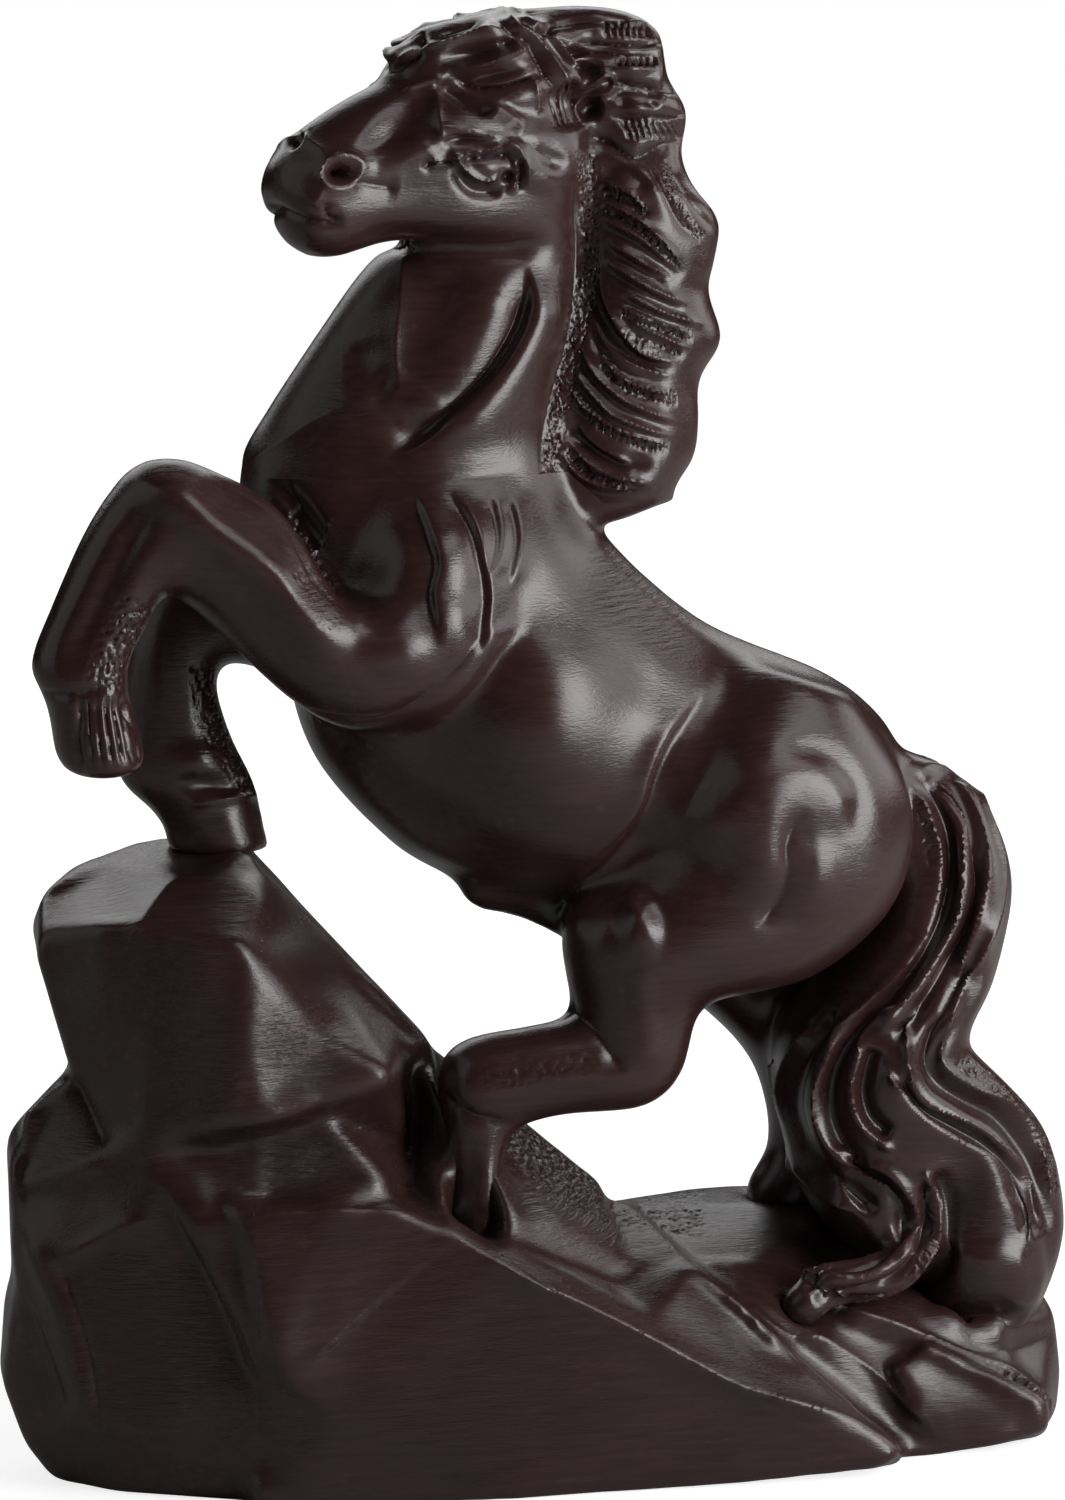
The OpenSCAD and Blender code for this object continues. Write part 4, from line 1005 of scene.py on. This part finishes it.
FRONT_BOULDER = ([(-90, 54.5), (-44, 51.5), (-14, 47), (-12, 47), (-12, 110), (-90, 110)], ALL_DEPTHS)
LEFT_ROCK = ([(-90, 0), (-45, 0), (-45, 51.6), (-90, 54.5)], ALL_DEPTHS)
FRONT_SLAB = (
    [(-45, 0), (47, 0), (35, 5.2), (16, 15.7), (-4, 27.5), (-17, 37.5), (-14, 47), (-44, 51.5),
     (-45, 51.6)],
    (-FAR, -10))
RIDGE_ROCK = (
    [(47, 0), (52, 0), (46, 20), (30, 34), (-2, 34), (-4, 27.5), (16, 15.7), (35, 5.2)],
    (-FAR, -9))
RIGHT_ROCK = ([(52, 0), (100, 0), (100, 30), (44, 30), (46, 20)], ALL_DEPTHS)
BLOCKS = {
    "torso": (None, [ABOVE] + LIMBS),
    "neck": ([NECK], []),
    "head": ([FACE], []),
    "forelock": ([FORELOCK], []),
    "crest": ([CREST], []),
    "mane": ([MANE], []),
    "near_foreleg": (NEAR_FORELEG, [NEAR_FORE_HOOF]),
    "near_fore_hoof": ([NEAR_FORE_HOOF], []),
    "far_foreleg": (FAR_FORELEG, [FAR_FORE_HOOF]),
    "far_fore_hoof": ([FAR_FORE_HOOF], []),
    "near_hind_leg": (NEAR_HIND_LEG, [NEAR_HIND_HOOF]),
    "near_hind_hoof": ([NEAR_HIND_HOOF], []),
    "far_hind_leg": (FAR_HIND_LEG, [FAR_HIND_HOOF]),
    "far_hind_hoof": ([FAR_HIND_HOOF], []),
    "tail": (TAIL, []),
    "front_boulder": ([FRONT_BOULDER], []),
    "left_rock": ([LEFT_ROCK], []),
    "front_slab": ([FRONT_SLAB], []),
    "ridge_rock": ([RIDGE_ROCK], []),
    "right_rock": ([RIGHT_ROCK], []),
    "back_rock": (
        [(oblong(-90, 100, 0, 110), ALL_DEPTHS)],
        [FRONT_BOULDER, LEFT_ROCK, FRONT_SLAB, RIDGE_ROCK, RIGHT_ROCK]),
}


# Parts of the blank that are carved together, each a little wider than its pieces
HEAD_PART = ([(-FAR, 131), (-2, 131), (11, 120), (FAR, 120), (FAR, TOP), (-FAR, TOP)], ALL_DEPTHS)
BODY_PART = (
    [(-FAR, -9), (56, -9), (56, 58), (60, 58), (60, 134), (12, 134), (3, 143), (-FAR, 143)],
    ALL_DEPTHS)
TAIL_PART = ([(22, -9), (FAR, -9), (FAR, 134), (47, 134), (47, 68), (22, 68)], ALL_DEPTHS)
BODY_PIECES = (
    "torso", "near_foreleg", "near_fore_hoof", "far_foreleg", "far_fore_hoof",
    "near_hind_leg", "near_hind_hoof", "far_hind_leg", "far_hind_hoof",
)
# Fills what the rocks leave open between them inside the pile
ROCK_CORE = [
    (oblong(-48, -16, 6, 52), (-14, 12)),
    (oblong(-20, 50, 3, 20), (-12, 14)),
    (oblong(-52, -36, 40, 57), (-6, 16.5)),
]


def block_mesh(blocks):
    """Closed blocks, each an outline in the side view pushed through its depths."""
    bm = bmesh.new()
    for outline, (y0, y1) in blocks:
        rim = [bm.verts.new((x * MM, y0 * MM, z * MM)) for x, z in outline]
        face = bm.faces.new(rim)
        pushed = bmesh.ops.extrude_face_region(bm, geom=[face])["geom"]
        moved = [part for part in pushed if isinstance(part, bmesh.types.BMVert)]
        bmesh.ops.translate(bm, verts=moved, vec=(0, (y1 - y0) * MM, 0))
    bmesh.ops.recalc_face_normals(bm, faces=bm.faces[:])
    mesh = bpy.data.meshes.new("block")
    bm.to_mesh(mesh)
    bm.free()
    return mesh


def cut_piece(form, kept, taken):
    """The part of a carved form inside the kept blocks and outside those that are taken."""
    cuts = [("INTERSECT", kept)] if kept else []
    cuts += [("DIFFERENCE", [block]) for block in taken]
    cutters = []

    def add_modifiers(thing):
        for operation, blocks in cuts:
            cutter = bpy.data.objects.new("cutter", joined_blocks(blocks))
            bpy.context.scene.collection.objects.link(cutter)
            cutters.append(cutter)
            cut = thing.modifiers.new("Cut", "BOOLEAN")
            cut.operation = operation
            cut.solver = "MANIFOLD"
            cut.object = cutter

    result = baked(form, "cut", add_modifiers)
    for cutter in cutters:
        bpy.data.objects.remove(cutter)
    return result


def joined_blocks(blocks):
    """Blocks as one closed solid."""
    whole = block_mesh(blocks[:1])
    for block in blocks[1:]:
        other = bpy.data.objects.new("block", block_mesh([block]))
        bpy.context.scene.collection.objects.link(other)

        def add_modifiers(thing):
            union = thing.modifiers.new("Union", "BOOLEAN")
            union.operation = "UNION"
            union.solver = "MANIFOLD"
            union.object = other

        whole = baked(whole, "whole", add_modifiers)
        bpy.data.objects.remove(other)
    return whole


def mark_tooled(mesh):
    """How much of the gouge's chatter is left at each point."""
    flat = np.empty(len(mesh.vertices) * 3)
    mesh.vertices.foreach_get("co", flat)
    pixels, _ = PhotoView(bpy.context.scene.horse_stage).pixels(flat.reshape(-1, 3) / MM)
    amount = np.zeros(len(pixels))
    for middle, reach, turn, share in TOOLED:
        amount = np.maximum(amount, share * oval(pixels, middle, reach, turn))
    layer = mesh.attributes.new("tooled", "FLOAT", "POINT")
    layer.data.foreach_set("value", amount)


# Edges sharper than this keep their crease in the shading
SHARP = math.radians(55)


def place_piece(mesh, node, material):
    """Shows a finished mesh in place of its CAD node."""
    mesh.name = node
    mesh.materials.clear()
    mesh.materials.append(material)
    mesh.shade_smooth()
    mesh.set_sharp_from_angle(angle=SHARP)
    mark_tooled(mesh)
    thing = bpy.data.objects.new(node + "_carved", mesh)
    bpy.context.scene.collection.objects.link(thing)
    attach(thing, BODY)
    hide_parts(node)


# How the grain lies in the block that the figure was carved from
GRAIN_TURN = (0, math.radians(-12), math.radians(6))


def grain_group():
    """Grain, wax and tool marks of one dark hardwood, for every material of the figure."""
    name = "carved hardwood"
    if name in bpy.data.node_groups:
        return bpy.data.node_groups[name]
    group = bpy.data.node_groups.new(name, "ShaderNodeTree")
    face = group.interface
    face.new_socket("Vector", in_out="INPUT", socket_type="NodeSocketVector")
    for title, value in (("Tooled", 0.0), ("Edge", 0.5)):
        socket = face.new_socket(title, in_out="INPUT", socket_type="NodeSocketFloat")
        socket.default_value = value
    for title in ("Tone", "Wax", "Height"):
        face.new_socket(title, in_out="OUTPUT", socket_type="NodeSocketFloat")
    nodes = group.nodes
    link = group.links.new
    inlet = nodes.new("NodeGroupInput")
    outlet = nodes.new("NodeGroupOutput")

    def noise(stretch, scale, detail, roughness=0.55):
        turn = nodes.new("ShaderNodeMapping")
        turn.inputs["Scale"].default_value = stretch
        turn.inputs["Rotation"].default_value = GRAIN_TURN
        texture = nodes.new("ShaderNodeTexNoise")
        texture.inputs["Scale"].default_value = scale
        texture.inputs["Detail"].default_value = detail
        texture.inputs["Roughness"].default_value = roughness
        link(inlet.outputs["Vector"], turn.inputs["Vector"])
        link(turn.outputs["Vector"], texture.inputs["Vector"])
        return texture.outputs["Fac"]

    def maths(operation, a, b):
        node = nodes.new("ShaderNodeMath")
        node.operation = operation
        for socket, value in zip(node.inputs, (a, b)):
            if isinstance(value, (int, float)):
                socket.default_value = value
            else:
                link(value, socket)
        return node.outputs["Value"]

    def clamped(value, title):
        clamp = nodes.new("ShaderNodeClamp")
        link(value, clamp.inputs["Value"])
        link(clamp.outputs["Result"], outlet.inputs[title])

    streaks = noise((1.0, 14.0, 14.0), 90.0, 6.0)
    pores = noise((1.0, 9.0, 9.0), 420.0, 2.0, 0.7)
    clouds = noise((1.0, 1.6, 1.6), 42.0, 3.0)
    chatter = noise((1.0, 1.0, 10.0), 220.0, 3.0, 0.6)
    tooled = inlet.outputs["Tooled"]

    grain = maths("SUBTRACT", streaks, 0.5)
    mottle = maths("SUBTRACT", clouds, 0.5)
    # Lighter on convex edges and darker in hollows, read from the mesh's pointiness; convex edges are also a
    # little glossier
    convexity = maths("MULTIPLY", maths("SUBTRACT", inlet.outputs["Edge"], 0.5), 6.0)
    tone = maths("ADD", maths("MULTIPLY", grain, 1.2), maths("MULTIPLY", mottle, 0.9))
    clamped(maths("ADD", maths("ADD", tone, convexity), 0.5), "Tone")

    wax = maths("ADD", maths("MULTIPLY", grain, 0.35), maths("MULTIPLY", mottle, 0.5))
    wax = maths("SUBTRACT", wax, maths("MULTIPLY", convexity, 0.15))
    wax = maths("ADD", wax, maths("MULTIPLY", tooled, 0.7))
    clamped(maths("ADD", wax, 0.4), "Wax")

    marks = maths("MULTIPLY", chatter, maths("ADD", maths("MULTIPLY", tooled, 7.0), 0.1))
    height = maths("ADD", marks, maths("MULTIPLY", grain, 0.5))
    height = maths("ADD", height, maths("MULTIPLY", pores, 0.7))
    link(height, outlet.inputs["Height"])
    return group


# Shares of a wood's colour that its darkest and its lightest grain have
DARK_GRAIN = 0.62
LIGHT_GRAIN = 1.5


def carved_wood(name, colour, gloss, marks):
    """Waxed dark hardwood. gloss is the range of its roughness, marks the depth of its tool marks in mm."""
    material = bpy.data.materials.get(name)
    if material:
        return material
    material = bpy.data.materials.new(name)
    material.use_nodes = True
    nodes = material.node_tree.nodes
    link = material.node_tree.links.new
    shader = nodes["Principled BSDF"]
    shader.inputs["Specular IOR Level"].default_value = 0.5
    place = nodes.new("ShaderNodeTexCoord")
    edge = nodes.new("ShaderNodeNewGeometry")
    grain = nodes.new("ShaderNodeGroup")
    grain.node_tree = grain_group()
    link(place.outputs["Object"], grain.inputs["Vector"])
    link(edge.outputs["Pointiness"], grain.inputs["Edge"])
    tooled = nodes.new("ShaderNodeAttribute")
    tooled.attribute_name = "tooled"
    link(tooled.outputs["Fac"], grain.inputs["Tooled"])

    tone = nodes.new("ShaderNodeMix")
    tone.data_type = "RGBA"
    dark, light = (socket for socket in tone.inputs if socket.type == "RGBA")
    dark.default_value = (*(DARK_GRAIN * part for part in colour), 1)
    light.default_value = (*(LIGHT_GRAIN * part for part in colour), 1)
    link(grain.outputs["Tone"], tone.inputs["Factor"])
    shown = next(socket for socket in tone.outputs if socket.type == "RGBA")
    link(shown, shader.inputs["Base Color"])

    polish = nodes.new("ShaderNodeMapRange")
    polish.inputs["To Min"].default_value = gloss[0]
    polish.inputs["To Max"].default_value = gloss[1]
    link(grain.outputs["Wax"], polish.inputs["Value"])
    link(polish.outputs["Result"], shader.inputs["Roughness"])

    bump = nodes.new("ShaderNodeBump")
    bump.inputs["Strength"].default_value = 1.0
    bump.inputs["Distance"].default_value = marks * MM
    link(grain.outputs["Height"], bump.inputs["Height"])
    link(bump.outputs["Normal"], shader.inputs["Normal"])
    return material


# For each slot of the record: the finish's colour, the range of roughness and the depth of tool marks in mm
WOODS = {
    "coat_wood": ("coat_colour", (0.15, 0.34), 0.06),
    "hair_wood": ("hair_colour", (0.15, 0.34), 0.06),
    "rock_wood": ("rock_colour", (0.16, 0.40), 0.09),
}
FORMS = {}


def prepared(name):
    """A form that an earlier operator left."""
    if name not in FORMS:
        raise RuntimeError("The horse's blank has to be rounded before it is carved")
    return FORMS[name]


def carved_part(context, block, voxel, carve):
    """The part of the rounded blank inside a block, carved on its own grid."""
    sizes = context.scene.horse_figure
    view = PhotoView(context.scene.horse_stage)
    rough = cut_piece(prepared("blank"), [block], [])
    clay = Clay(gridded(rough, voxel), view, sizes.cut_depth)
    clay.smooth(GRID_PASSES)
    carve(clay)
    return clay.mesh


def place_pieces(context, form, names, slot):
    """Cuts pieces out of a carved form and shows them in the wood of their slot."""
    colour, gloss, marks = WOODS[slot]
    wood = carved_wood(slot.replace("_", " "), getattr(context.scene.horse_finish, colour), gloss, marks)
    for node in names:
        kept, taken = BLOCKS[node]
        place_piece(cut_piece(form, kept, taken), node, wood)


# Passes that even out a fresh grid, and those for the rocks before and after their planes are laid out
GRID_PASSES = 4
ROCK_PASSES = (12, 16)
# The most that a relief moves the wood, in mm
TAIL_SHIFT = 8.0
ROCK_SHIFT = 9.0
# Shares of the rounding, and where they hold in mm: hooves on the rocks, the hoof on the boulder, hair
HOOF_ROUNDING = 0.2
HAIR_ROUNDING = 0.6
ROCK_HOOVES_TOP = 37
BOULDER_HOOF = (60, 89)
BOULDER_HOOF_SIDE = -25
HAIR_FOOT = 178
TAIL_ROOT = 45


class HorseOperator:
    bl_options = {"REGISTER", "UNDO"}


class OBJECT_OT_horse_blank(HorseOperator, bpy.types.Operator):
    """Round the whole horse as one blank, so that its forms run on across the glue faces"""
    bl_idname = "horse_figure.blank"
    bl_label = "Blank"

    def execute(self, context):
        sizes = context.scene.horse_figure
        view = PhotoView(context.scene.horse_stage)
        clay = Clay(gridded(blank(HORSE, "horse_blank"), sizes.blank_voxel), view, sizes.cut_depth)
        clay.swell(SHOULDER_FILL)
        clay.settle()
        clay.relief(TAIL_RELIEF, TAIL_SHIFT)
        clay.ease(EASED)
        x, _, z = clay.points.T
        low, high = BOULDER_HOOF
        hooves = (z < ROCK_HOOVES_TOP) | ((z > low) & (z < high) & (x < BOULDER_HOOF_SIDE))
        hair = (z > HAIR_FOOT) | (x > TAIL_ROOT)
        clay.smooth(sizes.rounding, np.where(hooves, HOOF_ROUNDING, np.where(hair, HAIR_ROUNDING, 1.0)))
        FORMS["blank"] = clay.mesh
        return {"FINISHED"}


class OBJECT_OT_head(HorseOperator, bpy.types.Operator):
    """Carve neck, head, forelock, crest and mane"""
    bl_idname = "horse_figure.head"
    bl_label = "Head and Mane"

    def execute(self, context):
        sizes = context.scene.horse_figure
        form = carved_part(context, HEAD_PART, sizes.head_voxel, carve_head)
        place_pieces(context, form, ("neck", "head"), "coat_wood")
        place_pieces(context, form, ("forelock", "crest", "mane"), "hair_wood")
        return {"FINISHED"}


class OBJECT_OT_body(HorseOperator, bpy.types.Operator):
    """Carve the torso, the four legs and the hooves"""
    bl_idname = "horse_figure.body"
    bl_label = "Body and Legs"

    def execute(self, context):
        sizes = context.scene.horse_figure
        form = carved_part(context, BODY_PART, sizes.body_voxel, carve_body)
        place_pieces(context, form, BODY_PIECES, "coat_wood")
        return {"FINISHED"}


class OBJECT_OT_tail(HorseOperator, bpy.types.Operator):
    """Carve the tail and its curl"""
    bl_idname = "horse_figure.tail"
    bl_label = "Tail"

    def execute(self, context):
        sizes = context.scene.horse_figure
        form = carved_part(context, TAIL_PART, sizes.tail_voxel, carve_tail)
        place_pieces(context, form, ("tail",), "hair_wood")
        return {"FINISHED"}


class OBJECT_OT_rocks(HorseOperator, bpy.types.Operator):
    """Carve the rocks under the horse"""
    bl_idname = "horse_figure.rocks"
    bl_label = "Rocks"

    def execute(self, context):
        sizes = context.scene.horse_figure
        view = PhotoView(context.scene.horse_stage)
        rough = gridded(blank(ROCKS, "rock_blank", ROCK_CORE), sizes.rock_blank_voxel)
        clay = Clay(rough, view, sizes.cut_depth)
        clay.smooth(ROCK_PASSES[0])
        clay.relief(ROCK_RELIEF, ROCK_SHIFT)
        clay.relief(RIGHT_RELIEF, ROCK_SHIFT)
        clay = Clay(gridded(clay.mesh, sizes.rock_blank_voxel), view, sizes.cut_depth)
        clay.smooth(ROCK_PASSES[1])
        clay.ease(ROCK_EASED, NEAR)
        clay = Clay(gridded(clay.mesh, sizes.rock_voxel), view, sizes.cut_depth)
        clay.smooth(GRID_PASSES)
        carve_rocks(clay)
        place_pieces(context, clay.mesh, ROCKS, "rock_wood")
        return {"FINISHED"}


def area_lamp(name, azimuth, elevation, distance, size, power, aim):
    """A softbox that looks at the point the camera aims at."""
    light = bpy.data.lights.new(name, "AREA")
    light.shape = "RECTANGLE"
    light.size, light.size_y = size
    light.energy = power
    lamp = bpy.data.objects.new(name, light)
    turn = math.radians(azimuth)
    rise = math.radians(elevation)
    lamp.location = (
        math.sin(turn) * math.cos(rise) * distance,
        -math.cos(turn) * math.cos(rise) * distance,
        aim + math.sin(rise) * distance,
    )
    lamp.rotation_euler = (math.pi / 2 - rise, 0, turn)
    lamp.visible_camera = False
    bpy.context.scene.collection.objects.link(lamp)


# Lamps of the studio: azimuth and elevation in degrees, distance and size in m, and the stage's power
LAMPS = (
    ("key softbox", 44, 10, 0.5, (0.22, 0.34), "key_power"),
    ("right panel", 84, 19, 0.5, (0.5, 0.26), "right_power"),
    ("top panel", 50, 50, 0.6, (0.36, 0.24), "top_power"),
    ("left panel", -88, 26, 0.9, (1.0, 1.0), "left_power"),
    ("back panel", 172, 32, 1.2, (1.6, 0.7), "back_power"),
)
# From the middle of the floor to its edge, in m
FLOOR_SIZE = 3.0
# The paper shines as white as the room from this far on, in m, and a little less beside the figure
GLOW_REACH = (0.1, 0.4)
GLOW = (0.8, 1.0)


class OBJECT_OT_stage(HorseOperator, bpy.types.Operator):
    """Set up the floor, the light and the photograph's camera"""
    bl_idname = "horse_figure.stage"
    bl_label = "Stage"

    def execute(self, context):
        scene = context.scene
        stage = scene.horse_stage
        bm = bmesh.new()
        bmesh.ops.create_grid(bm, x_segments=1, y_segments=1, size=FLOOR_SIZE)
        mesh = bpy.data.meshes.new("floor")
        bm.to_mesh(mesh)
        bm.free()
        floor = bpy.data.objects.new("floor", mesh)
        scene.collection.objects.link(floor)
        floor.data.materials.append(paper(scene.horse_finish.floor_colour))

        for name, azimuth, elevation, distance, size, power in LAMPS:
            area_lamp(name, azimuth, elevation, distance, size, getattr(stage, power), stage.aim_height)

        world = bpy.data.worlds.new("room")
        world.use_nodes = True
        nodes = world.node_tree.nodes
        links = world.node_tree.links
        path = nodes.new("ShaderNodeLightPath")
        white = nodes.new("ShaderNodeMapRange")
        white.inputs["To Min"].default_value = stage.fill
        white.inputs["To Max"].default_value = 1.0
        links.new(path.outputs["Is Camera Ray"], white.inputs["Value"])
        shade = nodes["Background"]
        shade.inputs["Color"].default_value = (1, 1, 1, 1)
        links.new(white.outputs["Result"], shade.inputs["Strength"])
        scene.world = world

        data = bpy.data.cameras.new("photo camera")
        data.sensor_width = SENSOR
        data.lens = stage.lens
        camera = bpy.data.objects.new("photo camera", data)
        view = PhotoView(stage)
        camera.location = view.eye * MM
        camera.rotation_euler = (math.pi / 2 - stage.elevation, 0, stage.azimuth)
        scene.collection.objects.link(camera)
        scene.camera = camera
        scene.view_settings.view_transform = "Standard"
        return {"FINISHED"}


def paper(colour):
    """White paper: white to the camera where no shadow falls, plain paper to every other ray."""
    material = bpy.data.materials.new("white paper")
    material.use_nodes = True
    nodes = material.node_tree.nodes
    shader = nodes["Principled BSDF"]
    shader.inputs["Base Color"].default_value = (*colour, 1)
    shader.inputs["Roughness"].default_value = 0.9
    shader.inputs["Specular IOR Level"].default_value = 0.0
    shader.inputs["Emission Color"].default_value = (1, 1, 1, 1)
    links = material.node_tree.links
    place = nodes.new("ShaderNodeTexCoord")
    away = nodes.new("ShaderNodeVectorMath")
    away.operation = "LENGTH"
    links.new(place.outputs["Object"], away.inputs[0])
    glow = nodes.new("ShaderNodeMapRange")
    glow.interpolation_type = "SMOOTHSTEP"
    glow.inputs["From Min"].default_value, glow.inputs["From Max"].default_value = GLOW_REACH
    glow.inputs["To Min"].default_value, glow.inputs["To Max"].default_value = GLOW
    links.new(away.outputs["Value"], glow.inputs["Value"])
    path = nodes.new("ShaderNodeLightPath")
    shown = nodes.new("ShaderNodeMath")
    shown.operation = "MULTIPLY"
    links.new(path.outputs["Is Camera Ray"], shown.inputs[0])
    links.new(glow.outputs["Result"], shown.inputs[1])
    links.new(shown.outputs["Value"], shader.inputs["Emission Strength"])
    return material


class VIEW3D_PT_horse(bpy.types.Panel):
    """Buttons for the carving steps, and the settings of the horse figure"""
    bl_label = "Carved Horse"
    bl_idname = "VIEW3D_PT_horse_figure"
    bl_space_type = "VIEW_3D"
    bl_region_type = "UI"
    bl_category = "Horse"

    def draw(self, context):
        column = self.layout.column(align=True)
        for operator in OPERATORS:
            column.operator(operator.bl_idname)
        for group in ("horse_figure", "horse_finish", "horse_stage"):
            box = self.layout.box()
            settings = getattr(context.scene, group)
            for name in settings.__annotations__:
                box.prop(settings, name)


OPERATORS = (
    OBJECT_OT_horse_blank, OBJECT_OT_head, OBJECT_OT_body, OBJECT_OT_tail, OBJECT_OT_rocks, OBJECT_OT_stage,
)
GROUPS = {
    "horse_figure": HorseFigureSettings,
    "horse_finish": HorseFinishSettings,
    "horse_stage": HorseStageSettings,
}


def register():
    for cls in (*GROUPS.values(), *OPERATORS, VIEW3D_PT_horse):
        bpy.utils.register_class(cls)
    for name, cls in GROUPS.items():
        setattr(bpy.types.Scene, name, PointerProperty(type=cls))


def unregister():
    for name in GROUPS:
        delattr(bpy.types.Scene, name)
    for cls in reversed((*GROUPS.values(), *OPERATORS, VIEW3D_PT_horse)):
        bpy.utils.unregister_class(cls)


def main():
    """Builds the figure."""
    register()
    bpy.ops.horse_figure.blank()
    bpy.ops.horse_figure.head()
    bpy.ops.horse_figure.body()
    bpy.ops.horse_figure.tail()
    bpy.ops.horse_figure.rocks()
    bpy.ops.horse_figure.stage()


if __name__ == "__main__":
    main()
